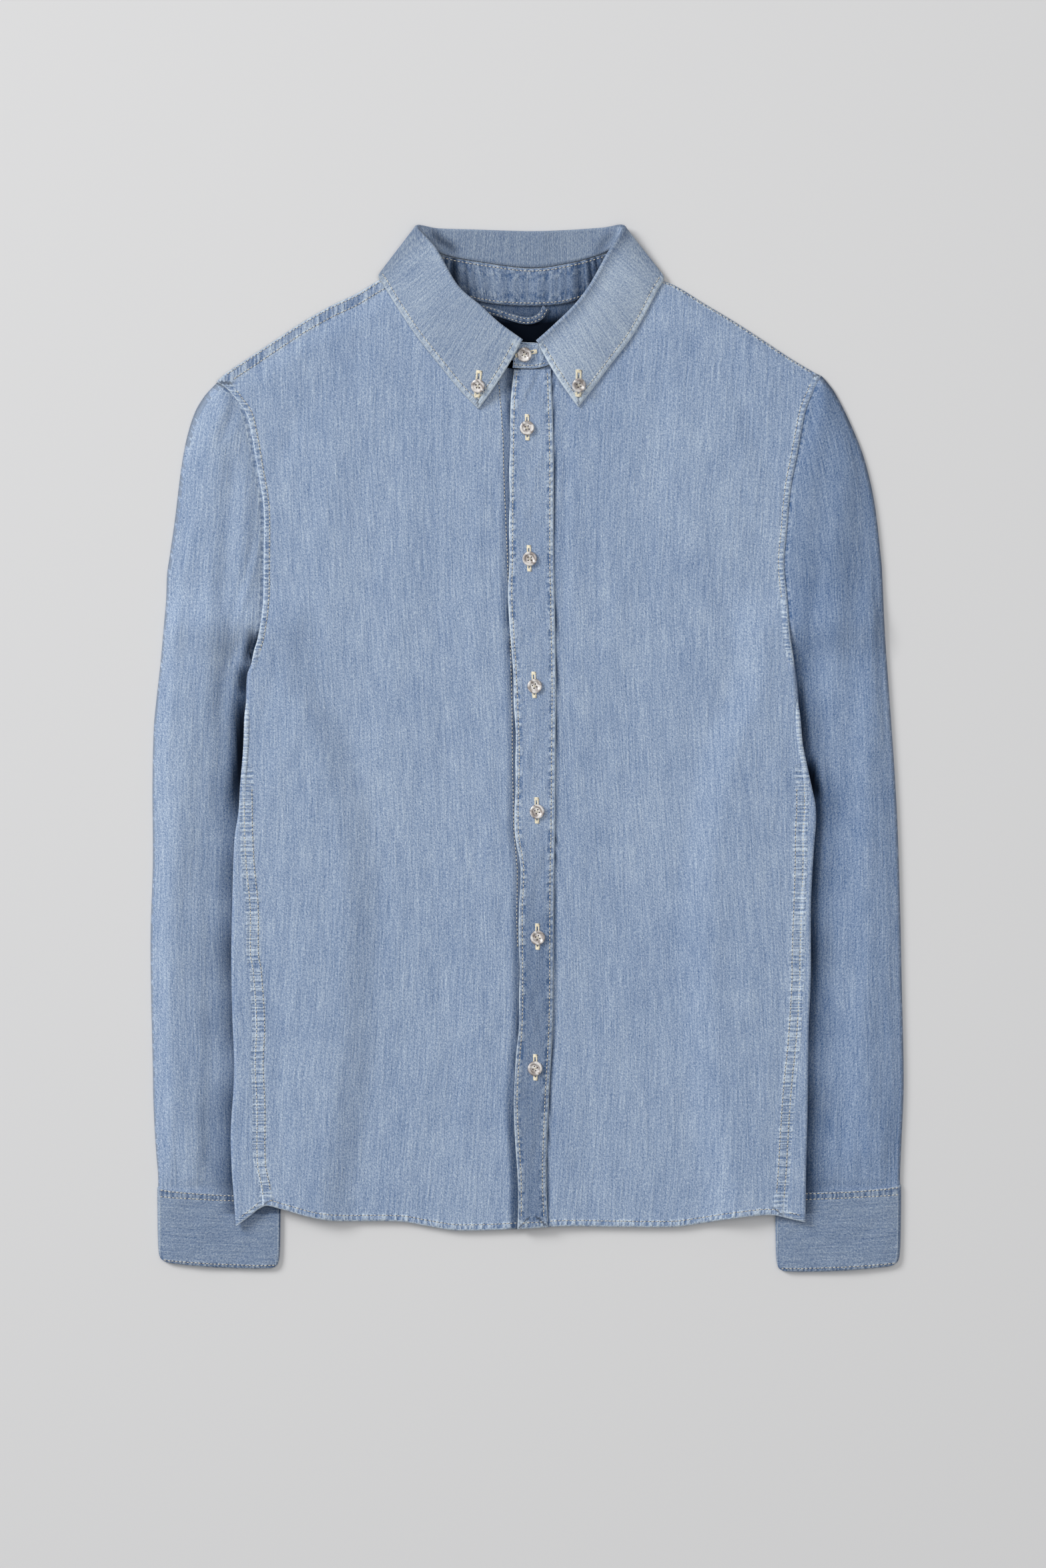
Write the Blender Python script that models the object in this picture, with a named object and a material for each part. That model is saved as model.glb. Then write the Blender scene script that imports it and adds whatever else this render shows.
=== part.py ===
"""A long-sleeved chambray shirt, buttoned and laid out flat on its back.

Every size here is in millimetres, and is turned into metres where a mesh is made. X runs to the
viewer's right, Y from the hem to the collar, and Z up from the table. Left and right are the
wearer's own, so the right half of the shirt lies at -X. Each cloth piece is a grid of points on
the middle of its wall, which is then given its real thickness.
"""

import bisect
import math

import bmesh
import bpy
from mathutils import Vector
from mathutils.bvhtree import BVHTree

MM = 0.001
CLOTH = 1.2  # wall of one layer of cloth
BAND = 1.6  # wall of a doubled, interlined band: collar and cuffs
CUFF_WALL = 1.8
SEAM = 0.3  # gap between two pieces that meet
ARMHOLE_GAP = 0.9  # the same where two curves meet whose corners don't match

# Heights of the middle of each wall above the table.
TABLE = CLOTH / 2
UNDER_SLEEVE = 4.3  # upper wall of a sleeve where the body lies over it
LIFT = 6.2  # how far the sleeves lift the body
LIFT_RUN, LIFT_CLEAR = 56.0, 24.0  # the lift starts and is full this far inside a sleeve's fold
LIFT_END, LIFT_FULL = 125.0, 84.0  # and fades out above the underarm between these heights
FOLD_RISE = 2.7  # from the back's wall up to its own wrapped edge
ON_BACK = CLOTH + SEAM  # from the back's wall up to a front lying on it
ROUND = FOLD_RISE / 2
WIDEST_CORNER = 0.6  # a wall keeps its thickness round corners down to this cosine

RIGHT, LEFT = -1, 1  # the wearer's right lies at -X

# Side of the body from the hem to the shoulder point: height along the shirt, distance out from
# the middle. It is the side fold as far as the underarm, and then the armhole seam.
SIDE_LINE = {
    RIGHT: (
        (-358.7, 217.3),
        (-295.0, 221.2),
        (-157.0, 220.5),
        (-75.0, 218.6),
        (-13.0, 213.0),
        (54.0, 209.5),
        (81.0, 201.8),
        (129.0, 197.8),
        (187.0, 198.3),
        (224.0, 204.8),
        (258.0, 215.8),
        (268.0, 224.0),
        (274.8, 233.7),
    ),
    LEFT: (
        (-355.7, 208.0),
        (-209.0, 210.8),
        (-119.0, 212.3),
        (-56.0, 215.8),
        (-18.8, 210.8),
        (20.0, 204.6),
        (67.0, 200.2),
        (96.0, 196.0),
        (137.0, 193.3),
        (195.0, 198.3),
        (244.0, 207.7),
        (270.0, 216.7),
        (279.3, 221.5),
    ),
}
# Side seam, which lies on the front of the side fold: height, distance out.
SIDE_SEAM = {
    RIGHT: (
        (-344.0, 197.5),
        (-311.0, 202.3),
        (-209.0, 202.3),
        (-119.0, 207.2),
        (-56.0, 211.0),
        (50.0, 206.3),
    ),
    LEFT: (
        (-352.0, 192.0),
        (-321.0, 194.3),
        (-217.0, 202.0),
        (-157.0, 204.8),
        (-48.0, 208.2),
        (50.0, 200.0),
    ),
}
UNDERARM = 54.0
WRAP_TOP = 40.0  # where the wrapped edge of the back starts, just under the underarm
# Shoulder line from the neck corner to the shoulder point: distance out, height.
SHOULDER_LINE = {
    RIGHT: (
        (91.0, 361.0),
        (110.3, 351.8),
        (146.8, 332.3),
        (166.3, 321.3),
        (205.8, 295.3),
        (232.7, 274.8),
    ),
    LEFT: (
        (82.0, 361.0),
        (100.8, 351.3),
        (132.8, 333.8),
        (153.8, 321.3),
        (195.8, 293.8),
        (220.9, 279.3),
    ),
}
SHOULDER_LEAN = 0.857  # cosine of the shoulder line's slope
# The fronts' neck edge, on the half whose neck corner is 91 mm out: distance out, height.
NECK_EDGE = (
    (0.0, 283.6),
    (14.0, 284.8),
    (30.0, 293.0),
    (52.0, 311.0),
    (72.0, 335.0),
    (84.0, 352.0),
    (91.0, 361.0),
)
BACK_NECK = 336.0
YOKE_SEAM = 250.0
SHOULDER_INSET = 0.6  # the panels stop this far below the shoulder line
SHOULDER_SHARE = 5 / 9  # share of a front's columns that end on the shoulder
BUTTON_EDGE = 12.0  # the right front's edge, hidden under the placket
UNDER_PLACKET = 0.8  # the left front's edge is hidden this far inside the placket's

# Hem of the fronts, from the wearer's right to the left: across, height.
HEM = (
    (-217.3, -358.7),
    (-197.0, -343.5),
    (-183.7, -346.2),
    (-142.0, -355.2),
    (-95.0, -355.7),
    (-51.7, -362.4),
    (0.0, -361.0),
    (112.0, -359.7),
    (150.0, -353.7),
    (187.0, -350.8),
    (208.0, -355.7),
)
BACK_HEM_RISE = 1.8  # the back's hem lies hidden this far above the fronts'
BACK_COLUMNS = 16
FRONT_COLUMNS = 9
YOKE_ROWS = 4
BODY_ROWS = 19  # rows of points from the hem to the yoke's seam
ROW_CLEAR = 5.0  # nearest that a row comes to the hem's

PLACKET_TOP = 283.4
PLACKET_COLUMNS = 3
# Placket edges: height, across at its free edge, across at its seam.
PLACKET = (
    (-359.0, -6.7, 16.2),
    (-321.0, -6.7, 14.8),
    (-263.0, -9.7, 16.8),
    (-204.0, -5.8, 19.7),
    (-90.0, -4.9, 20.4),
    (-63.0, -8.7, 21.2),
    (31.0, -9.7, 22.0),
    (114.0, -13.7, 20.6),
    (210.0, -12.7, 19.9),
    (281.0, -9.8, 18.4),
)

# Sleeve rings from the armhole to the cuff: outer end (out, height), inner end (out, height),
# and how much of the armhole's curve the ring keeps.
SLEEVE_RINGS = {
    RIGHT: (
        (234.2, 274.9, 211.5, 58.0, 1.00),
        (243.3, 263.8, 210.0, 50.0, 0.85),
        (253.0, 243.0, 206.0, 41.0, 0.66),
        (260.2, 208.0, 197.0, 27.0, 0.45),
        (266.5, 158.0, 187.0, 8.0, 0.28),
        (271.0, 108.0, 178.0, -16.0, 0.14),
        (275.5, 56.0, 170.0, -50.0, 0.05),
        (279.7, 2.0, 165.0, -90.0, 0.0),
        (280.6, -66.0, 163.0, -132.0, 0.0),
        (282.0, -140.0, 164.0, -182.0, 0.0),
        (281.7, -200.0, 167.0, -228.0, 0.0),
        (280.2, -258.0, 171.0, -272.0, 0.0),
        (277.7, -303.0, 176.0, -308.0, 0.0),
        (276.6, -331.0, 181.0, -333.0, 0.0),
    ),
    LEFT: (
        (222.0, 279.4, 205.0, 58.0, 1.00),
        (232.0, 264.5, 204.0, 50.0, 0.85),
        (242.5, 243.0, 202.0, 41.0, 0.66),
        (252.5, 208.0, 197.0, 27.0, 0.45),
        (261.0, 160.0, 188.0, 8.0, 0.28),
        (266.5, 108.0, 180.0, -16.0, 0.14),
        (269.5, 56.0, 173.0, -50.0, 0.05),
        (272.5, 2.0, 168.0, -90.0, 0.0),
        (276.5, -66.0, 166.0, -132.0, 0.0),
        (279.8, -140.0, 167.0, -182.0, 0.0),
        (281.2, -200.0, 170.0, -228.0, 0.0),
        (282.6, -258.0, 174.0, -272.0, 0.0),
        (281.6, -300.0, 179.0, -305.0, 0.0),
        (280.4, -328.0, 184.0, -330.5, 0.0),
    ),
}
PLUMP = 4.6  # how much higher a sleeve's upper wall is in the middle of what shows
PLUMP_START = 18.0  # distance from the body's side fold where a sleeve starts to rise
TUBE_FOLD = 1.35  # radius of the folds of a flattened sleeve or cuff
FOLD_STEPS = (1.5, 6.0, 15.0)  # distances from a fold of the first points of each layer
FLAT_STEPS = 5  # stretches between them
# Cuff rings: height below the sleeve's end, share of the full width, drop of its middle.
CUFF_RINGS = (
    (0.0, 1.0, 0.0),
    (20.0, 1.0, 0.0),
    (42.0, 0.99, 0.0),
    (51.5, 0.965, 1.5),
    (54.5, 0.90, 2.0),
)
# The cuff's top edge, at its outer end (out, height) and its inner end (out, height).
CUFF_TOP = {RIGHT: (276.8, -331.4, 183.8, -333.4), LEFT: (281.0, -328.4, 186.2, -330.9)}
CUFF_LAYERS = 2.9  # from the middle of the cuff's lower wall to the middle of its upper wall
CUFF_PLUMP = 0.7
CUFF_TURN = {RIGHT: 0.0, LEFT: 4.8}  # how much lower the left cuff's foot lies

# Collar leaf from the right point round the back to the left point. Fold: x, y, z. Outer edge:
# x, y and its height, or None where it lies on a front. Leaf and stand seam: x, y, z.
LEAF = (
    ((-3.4, 304.2, 18.0), (-36.2, 253.8, None), (-3.4, 304.2, 14.4)),
    ((-20.6, 316.4, 19.2), (-49.0, 267.0, None), (-20.6, 316.6, 15.6)),
    ((-34.6, 329.2, 20.0), (-63.2, 284.3, None), (-34.8, 329.6, 16.2)),
    ((-52.4, 345.0, 19.6), (-85.2, 312.3, None), (-52.0, 345.6, 15.2)),
    ((-68.6, 373.0, 15.5), (-106.4, 345.5, None), (-66.6, 369.0, 11.0)),
    ((-82.4, 390.4, 7.6), (-110.0, 355.6, 3.9), (-75.0, 376.0, 7.2)),
    ((-66.0, 389.0, 2.6), (-92.0, 366.0, 1.1), (-64.0, 370.6, 4.4)),
    ((-40.0, 388.2, 2.3), (-56.0, 367.0, 1.1), (-41.0, 365.4, 3.8)),
    ((2.0, 387.0, 2.2), (-2.0, 366.5, 1.1), (2.5, 360.0, 3.6)),
    ((34.0, 388.0, 2.3), (46.0, 367.0, 1.1), (34.0, 364.0, 3.8)),
    ((57.0, 389.6, 2.6), (82.0, 366.0, 1.1), (56.0, 370.4, 4.4)),
    ((72.8, 390.2, 7.6), (102.0, 354.2, 3.9), (66.0, 375.0, 7.2)),
    ((61.4, 370.0, 15.5), (97.0, 341.0, None), (60.0, 366.4, 11.0)),
    ((48.6, 346.6, 19.6), (80.5, 310.5, None), (48.4, 347.2, 15.2)),
    ((36.6, 330.6, 20.0), (62.0, 286.0, None), (36.8, 331.0, 16.2)),
    ((19.6, 314.0, 19.2), (49.5, 269.0, None), (19.6, 314.4, 15.6)),
    ((7.6, 303.6, 18.0), (38.7, 255.2, None), (7.6, 303.6, 14.4)),
)
LEAF_FOLD = 1.35  # radius of the leaf's fold
FACET_ROOM = 0.5  # more room where the flat facets of two curved walls lie on each other
LEAF_STEPS = 4  # stretches from the fold to the outer edge
LEAF_CROWN = 1.6  # how far the leaf bows up between fold and edge
# Collar stand from its right end round the back to its left end, which laps over the right end.
# Neck seam: x, y, z. Top edge: x, y, z.
STAND = (
    ((8.0, 290.0, 6.0), (8.0, 303.0, 10.2)),
    ((-12.0, 290.6, 6.0), (-9.0, 305.0, 10.4)),
    ((-30.0, 297.0, 6.6), (-22.0, 315.6, 13.0)),
    ((-54.0, 315.0, 7.0), (-36.0, 328.4, 13.8)),
    ((-78.0, 341.0, 6.8), (-54.0, 344.0, 13.0)),
    ((-91.0, 356.0, 5.4), (-68.5, 366.6, 9.4)),
    ((-88.0, 360.0, 3.6), (-76.0, 372.6, 6.6)),
    ((-68.0, 347.0, 2.45), (-62.8, 369.0, 4.4)),
    ((-36.0, 335.0, 2.45), (-40.4, 364.8, 3.8)),
    ((2.0, 331.6, 2.45), (2.5, 359.4, 3.6)),
    ((34.0, 334.6, 2.45), (33.4, 363.4, 3.8)),
    ((60.0, 347.0, 2.45), (54.8, 368.8, 4.4)),
    ((80.0, 360.0, 3.6), (67.0, 371.8, 6.6)),
    ((83.0, 356.0, 5.4), (61.8, 363.8, 9.4)),
    ((71.0, 341.0, 7.6), (50.4, 345.6, 13.0)),
    ((50.0, 315.0, 8.8), (38.0, 329.8, 13.8)),
    ((28.0, 293.0, 8.9), (20.8, 312.6, 13.2)),
    ((10.0, 284.6, 8.9), (8.4, 302.6, 12.4)),
    ((-10.6, 284.4, 8.9), (-8.6, 302.0, 12.2)),
)

LOOP_ROUTE = ((-37.0, 330.6), (-22.0, 326.2), (-2.0, 320.4), (9.0, 322.6), (14.5, 330.2))
LOOP_WIDTH = 5.0

BUTTON = {"radius": 5.5, "rim": 1.0, "height": 2.4, "dish": 0.7, "hole": 0.75, "spread": 1.35}
POINT_BUTTON_SCALE = 0.92
BUTTON_SIDES = 16
FRONT_BUTTONS = ((0.3, 239.3), (2.3, 141.3), (6.0, 45.8), (7.8, -48.2), (8.3, -142.7), (6.3, -240.7))
STAND_BUTTON = (-1.7, 294.3)
POINT_BUTTONS = {RIGHT: (-36.3, 270.8), LEFT: (38.8, 271.3)}

# Principled colours (linear), roughness.
CHAMBRAY = ((0.27, 0.37, 0.55, 1.0), 0.9)
CHAMBRAY_BAND = ((0.24, 0.34, 0.52, 1.0), 0.9)
SHELL = ((0.72, 0.70, 0.66, 1.0), 0.3)


# ---------------------------------------------------------------- curves


def ease(low, high, value):
    """0 below low, 1 above high, and a smooth step between."""
    share = min(1.0, max(0.0, (value - low) / (high - low)))
    return share * share * (3 - 2 * share)


def follow(rows, key, column=1):
    """A column's value at key, on a smooth curve through rows that rise in their first column."""
    keys = [row[0] for row in rows]
    values = [row[column] for row in rows]
    key = min(max(key, keys[0]), keys[-1])
    here = min(max(bisect.bisect_right(keys, key) - 1, 0), len(keys) - 2)

    def slope(index):
        low, high = max(index - 1, 0), min(index + 1, len(keys) - 1)
        return (values[high] - values[low]) / (keys[high] - keys[low])

    span = keys[here + 1] - keys[here]
    t = (key - keys[here]) / span
    start, end = values[here], values[here + 1]
    bend_in, bend_out = slope(here) * span, slope(here + 1) * span
    return (
        (2 * t**3 - 3 * t**2 + 1) * start
        + (t**3 - 2 * t**2 + t) * bend_in
        + (3 * t**2 - 2 * t**3) * end
        + (t**3 - t**2) * bend_out
    )


def smooth_route(points, steps):
    """Points on a smooth curve through the given ones, with so many steps in each stretch."""
    points = [Vector(point) for point in points]
    route = []
    for here in range(len(points) - 1):
        before = points[max(here - 1, 0)]
        start, end = points[here], points[here + 1]
        after = points[min(here + 2, len(points) - 1)]
        for step in range(steps):
            t = step / steps
            route.append(
                0.5
                * (
                    2 * start
                    + (end - before) * t
                    + (2 * before - 5 * start + 4 * end - after) * t**2
                    + (3 * start - before - 3 * end + after) * t**3
                )
            )
    route.append(points[-1])
    return route


def side_line(side, height):
    return follow(SIDE_LINE[side], height)


def side_seam(side, height):
    """Distance out to the side seam, always clear of the side fold's own rounding."""
    return min(follow(SIDE_SEAM[side], height), side_line(side, height) - 3.4)


def hem_height(across):
    return follow(HEM, across)


def shoulder_height(side, out):
    return follow(SHOULDER_LINE[side], out)


# ---------------------------------------------------------------- how the layers lie


def inner_fold(side, height):
    """Distance out to a sleeve's inner fold, which lies under the body."""
    rows = sorted((row[3], row[2]) for row in SLEEVE_RINGS[side])
    return follow(rows, height)


def lift_at(across, height):
    """How far a sleeve underneath lifts the body at this place."""
    side = RIGHT if across < 0 else LEFT
    inner = inner_fold(side, height)
    over_sleeve = ease(inner - LIFT_RUN, inner - LIFT_CLEAR, abs(across))
    return LIFT * over_sleeve * ease(LIFT_END, LIFT_FULL, height)


def back_height(across, height):
    return TABLE + lift_at(across, height)


def from_shoulder(across, height):
    """Distance down from the shoulder line."""
    side = RIGHT if across < 0 else LEFT
    return (shoulder_height(side, abs(across)) - height) * SHOULDER_LEAN


def front_height(across, height):
    """Middle of a front's wall where it lies on the back, with its soft fullness."""
    side = RIGHT if across < 0 else LEFT
    edge = side_line(side, height) - abs(across)
    fullness = FOLD_RISE - ON_BACK + 1.5 * ease(4, 60, edge)
    fullness *= ease(0, 24, from_shoulder(across, height))
    return back_height(across, height) + ON_BACK + fullness


def placket_edges(height):
    return follow(PLACKET, height), follow(PLACKET, height, 2)


def left_front_height(across, height):
    """The left front laps over the right front under the placket."""
    seam = placket_edges(height)[1]
    lap = ON_BACK * ease(seam + 40, seam + 4, across)
    return front_height(across, height) + lap


# ---------------------------------------------------------------- making pieces


def finish(name, look):
    colour, roughness = look
    material = bpy.data.materials.new(name)
    material.use_nodes = True
    shader = material.node_tree.nodes["Principled BSDF"]
    shader.inputs["Base Color"].default_value = colour
    shader.inputs["Roughness"].default_value = roughness
    return material


def add_piece(name, shape, look):
    mesh = bpy.data.meshes.new(name)
    shape.to_mesh(mesh)
    shape.free()
    mesh.shade_smooth()
    mesh.set_sharp_from_angle(angle=math.radians(40))
    piece = bpy.data.objects.new(name, mesh)
    piece.data.materials.append(finish(name, look))
    bpy.context.collection.objects.link(piece)
    return piece


def thicken(sheet, wall):
    """A closed wall with the open sheet on its middle, nowhere below the table."""
    sheet.normal_update()
    shape = bmesh.new()
    upper, lower = {}, {}
    for vert in sheet.verts:
        spread = min(vert.normal.dot(face.normal) for face in vert.link_faces)
        push = vert.normal * wall / 2 / max(spread, WIDEST_CORNER)
        upper[vert], lower[vert] = (
            shape.verts.new((place.x, place.y, max(place.z, 0.0)))
            for place in (vert.co + push, vert.co - push)
        )
    for face in sheet.faces:
        shape.faces.new([upper[vert] for vert in face.verts])
        shape.faces.new([lower[vert] for vert in reversed(face.verts)])
    for edge in sheet.edges:
        if edge.is_boundary:
            start, end = edge.verts
            if edge.link_loops[0].vert != start:
                start, end = end, start
            shape.faces.new((upper[start], lower[start], lower[end], upper[end]))
    return shape


def cloth(name, grids, wall, look):
    """A wall of cloth on one or more grids of points that share an edge."""
    sheet = bmesh.new()
    for grid in grids:
        rows = [[sheet.verts.new(Vector(point) * MM) for point in row] for row in grid]
        for low, high in zip(rows, rows[1:]):
            for near in range(len(low) - 1):
                sheet.faces.new((low[near], low[near + 1], high[near + 1], high[near]))
    bmesh.ops.remove_doubles(sheet, verts=sheet.verts, dist=0.01 * MM)
    bmesh.ops.recalc_face_normals(sheet, faces=sheet.faces)
    shape = thicken(sheet, wall * MM)
    sheet.free()
    return add_piece(name, shape, look)


def patch(bottom, top, near, far, across, along, height_at):
    """A grid inside four edges, each a function of 0 to 1, laid at its height over the table."""
    grid = []
    for v in along:
        line = []
        for u in across:
            edges = (1 - v) * bottom(u) + v * top(u) + (1 - u) * near(v) + u * far(v)
            corners = (1 - v) * ((1 - u) * bottom(0) + u * bottom(1))
            corners += v * ((1 - u) * top(0) + u * top(1))
            x, y = edges - corners
            line.append((x, y, height_at(x, y)))
        grid.append(line)
    return grid


# ---------------------------------------------------------------- body


def neck_edge(side, out):
    """Height of the fronts' neck edge."""
    return follow(NECK_EDGE, out * NECK_EDGE[-1][0] / SHOULDER_LINE[side][0][0])


def armhole_edge(side, height):
    """Distance out to the body's edge along the armhole seam."""
    return side_line(side, height) - ARMHOLE_GAP / 2


def hem_at_fold(side):
    return hem_height(side * side_line(side, HEM[0][1]))


def body_heights(side):
    """Heights of the back's rows at one side, which the front's rows share."""
    low = hem_at_fold(side)
    return [low + (YOKE_SEAM - low) * row / BODY_ROWS for row in range(BODY_ROWS + 1)]


def make_front(name, side, middle_edge, height_at):
    """A front from its side seam and armhole to its middle edge."""
    hem_side = hem_height(side * follow(SIDE_SEAM[side], HEM[0][1]))
    shoulder = SHOULDER_LINE[side][-1][1] - SHOULDER_INSET
    neck_out = SHOULDER_LINE[side][0][0]

    def side_edge(v):
        y = hem_side + v * (shoulder - hem_side)
        blend = ease(WRAP_TOP, UNDERARM + 4, y)
        seam = side_seam(side, y) - SEAM / 2
        return Vector((side * ((1 - blend) * seam + blend * armhole_edge(side, y)), y))

    def top_edge(u):
        if u < SHOULDER_SHARE:
            out = abs(side_edge(1).x)
            out += (neck_out - out) * u / SHOULDER_SHARE
            return Vector((side * out, shoulder_height(side, out) - SHOULDER_INSET))
        share = (u - SHOULDER_SHARE) / (1 - SHOULDER_SHARE)
        x = side * neck_out + (middle_edge(1).x - side * neck_out) * share
        return Vector((x, neck_edge(side, max(0.0, side * x)) - SHOULDER_INSET * (1 - share)))

    def hem_edge(u):
        start, end = side_edge(0), middle_edge(0)
        x = start.x + (end.x - start.x) * u
        return Vector((x, hem_height(x)))

    across = [column / FRONT_COLUMNS for column in range(FRONT_COLUMNS + 1)]
    heights = [y for y in body_heights(side) if y > hem_side + ROW_CLEAR]
    above = [YOKE_SEAM + (shoulder - YOKE_SEAM) * row / YOKE_ROWS for row in range(1, YOKE_ROWS)]
    along = [(y - hem_side) / (shoulder - hem_side) for y in heights + above]
    along = [0.0] + along + [1.0]
    grid = patch(hem_edge, top_edge, side_edge, middle_edge, across, along, height_at)
    return cloth(name, [grid], CLOTH, CHAMBRAY)


def right_middle(v):
    low, high = hem_height(BUTTON_EDGE) + BACK_HEM_RISE, neck_edge(RIGHT, 0)
    return Vector((BUTTON_EDGE, low + (high - low) * v))


def left_middle(v):
    low, high = hem_height(0), neck_edge(LEFT, 0)
    y = low + (high - low) * v
    return Vector((placket_edges(y)[0] + UNDER_PLACKET, y))


def make_back():
    """The back lies on the table, rises over the sleeves and wraps round to the side seams."""

    def edge(side):
        low = hem_at_fold(side)

        def at(v):
            y = low + v * (YOKE_SEAM - low)
            folded = ease(UNDERARM + 8, WRAP_TOP, y)
            inset = (1 - folded) * ARMHOLE_GAP / 2 + folded * (CLOTH / 2 + ROUND)
            return Vector((side * (side_line(side, y) - inset), y))

        return at

    right, left = edge(RIGHT), edge(LEFT)

    def hem(u):
        x = right(0).x + (left(0).x - right(0).x) * u
        rise = BACK_HEM_RISE * ease(0, 0.04, u) * ease(1, 0.96, u)
        return Vector((x, hem_height(x) + rise))

    def seam(u):
        return right(1).lerp(left(1), u)

    across = [column / BACK_COLUMNS for column in range(BACK_COLUMNS + 1)]
    along = [row / BODY_ROWS for row in range(BODY_ROWS + 1)]
    grids = [patch(hem, seam, right, left, across, along, back_height)]
    for side, edge_at in ((RIGHT, right), (LEFT, left)):
        wrap = []
        for start in (edge_at(share) for share in along):
            if start.y > WRAP_TOP:
                break
            table = back_height(start.x, start.y)
            fold = side * (abs(start.x) + ROUND)
            seam_x = side * (side_seam(side, start.y) + SEAM / 2)
            wrap_top = table + FOLD_RISE
            middle = (start.x + seam_x) / 2
            slack = ROUND * (1 - math.sin(math.radians(50)))
            rise = ROUND * (1 - math.cos(math.radians(50)))
            wrap.append(
                [
                    (start.x, start.y, table),
                    (fold - side * slack, start.y, table + rise),
                    (fold, start.y, table + ROUND),
                    (fold - side * slack, start.y, wrap_top - rise),
                    (start.x, start.y, wrap_top),
                    (middle, start.y, wrap_top),
                    (seam_x, start.y, wrap_top),
                ]
            )
        hem_fall = [hem_height(point[0]) - wrap[0][0][1] for point in wrap[0]]
        wrap[0] = [(x, y + fall, z) for (x, y, z), fall in zip(wrap[0], hem_fall)]
        wrap[0][0] = grids[0][0][0 if side == RIGHT else -1]
        grids.append(wrap)
    return cloth("back", grids, CLOTH, CHAMBRAY)


def make_yoke():
    """The yoke lies flat from its seam up to the shoulders and the back of the neck."""

    def edge(side):
        def at(v):
            low, high = YOKE_SEAM + SEAM, SHOULDER_LINE[side][-1][1] - SHOULDER_INSET
            y = low + v * (high - low)
            return Vector((side * armhole_edge(side, y), y))

        return at

    right, left = edge(RIGHT), edge(LEFT)

    def low(u):
        return right(0).lerp(left(0), u)

    def high(u):
        side = RIGHT if u < 0.5 else LEFT
        neck_out, neck_y = SHOULDER_LINE[side][0]
        share = min(u, 1 - u) * 4
        if share < 1:
            start = abs(right(1).x if side == RIGHT else left(1).x)
            out = start + (neck_out - start) * share
            return Vector((side * out, shoulder_height(side, out) - SHOULDER_INSET))
        dip = (neck_y - SHOULDER_INSET - BACK_NECK) * (1 - (2 - share) ** 2)
        x = side * neck_out * (2 - share)
        return Vector((x, neck_y - SHOULDER_INSET - dip))

    across = [column / BACK_COLUMNS for column in range(BACK_COLUMNS + 1)]
    along = [row / YOKE_ROWS for row in range(YOKE_ROWS + 1)]
    grid = patch(low, high, right, left, across, along, lambda x, y: TABLE)
    return cloth("yoke", [grid], CLOTH, CHAMBRAY)


def make_placket():
    """The placket band lies on the left front along its free edge."""
    grid = []
    for share in (row / BODY_ROWS for row in range(BODY_ROWS + 1)):
        foot = PLACKET[0][0]
        free_edge, seam = placket_edges(foot + share * (PLACKET_TOP - foot))
        line = []
        for column in range(PLACKET_COLUMNS + 1):
            x = free_edge + (seam - free_edge) * column / PLACKET_COLUMNS
            low = hem_height(x)
            y = low + (PLACKET_TOP - low) * share
            line.append((x, y, left_front_height(x, y) + ON_BACK))
        grid.append(line)
    return cloth("placket", [grid], CLOTH, CHAMBRAY)


# ---------------------------------------------------------------- sleeves and cuffs


def sleeve_top(side, out, height):
    """Middle of a sleeve's upper wall: level with the armhole seam, full where it shows."""
    line = side_line(side, height)
    start = line + PLUMP_START * ease(100, 62, height)
    outer = follow(sorted((row[1], row[0]) for row in SLEEVE_RINGS[side]), height)
    level_with_seam = front_height(side * (line - 1), height)
    base = UNDER_SLEEVE + (level_with_seam - UNDER_SLEEVE) * ease(62, 100, height)
    share = min(1.0, max(0.0, (out - start) / max(outer - start, 1)))
    return base + PLUMP * math.sin(math.pi * share) ** 0.9


def ring_shares(width):
    """Shares of a flattened ring's width, close together near its two folds."""
    near = [step / width for step in FOLD_STEPS]
    span = 1 - 2 * near[-1]
    middle = [near[-1] + span * step / FLAT_STEPS for step in range(1, FLAT_STEPS)]
    return near + middle + [1 - share for share in reversed(near)]


def ring_points(outer, inner, bow, side, top_at, floor):
    """A flattened ring: along the upper wall from outer to inner end, and back along the table."""
    outer, inner = Vector(outer), Vector(inner)
    width = (inner - outer).length

    def place(share):
        return outer.lerp(inner, share) + Vector(bow(share))

    def upper(share):
        out, height = place(share)
        from_fold = min(share, 1 - share) * width / FOLD_STEPS[-1]
        full = math.sin(min(1.0, from_fold) * math.pi / 2)
        fold = 2 * TUBE_FOLD
        return (side * out, height, floor + fold + (top_at(out, height) - floor - fold) * full)

    def lower(share):
        out, height = place(share)
        return (side * out, height, floor)

    def end(share):
        out, height = place(share)
        return (side * out, height, floor + TUBE_FOLD)

    shares = ring_shares(width)
    points = [end(0)] + [upper(share) for share in shares]
    points += [end(1)] + [lower(share) for share in reversed(shares)]
    return points + points[:1]


def armhole_bow(side, share, height):
    """How far the armhole seam bends from the straight line between its ends. A ring takes this at
    its own height, but near its outer end at the same share of the seam, where it is nothing."""
    out_0, y_0, out_1, y_1, _ = SLEEVE_RINGS[side][0]
    level = min(max(height, y_1), y_0)
    level += (y_0 + (y_1 - y_0) * share - level) * ease(0.5, 0.12, share)
    straight = out_0 + (out_1 - out_0) * (level - y_0) / (y_1 - y_0)
    return side_line(side, level) + ARMHOLE_GAP / 2 - straight


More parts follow.
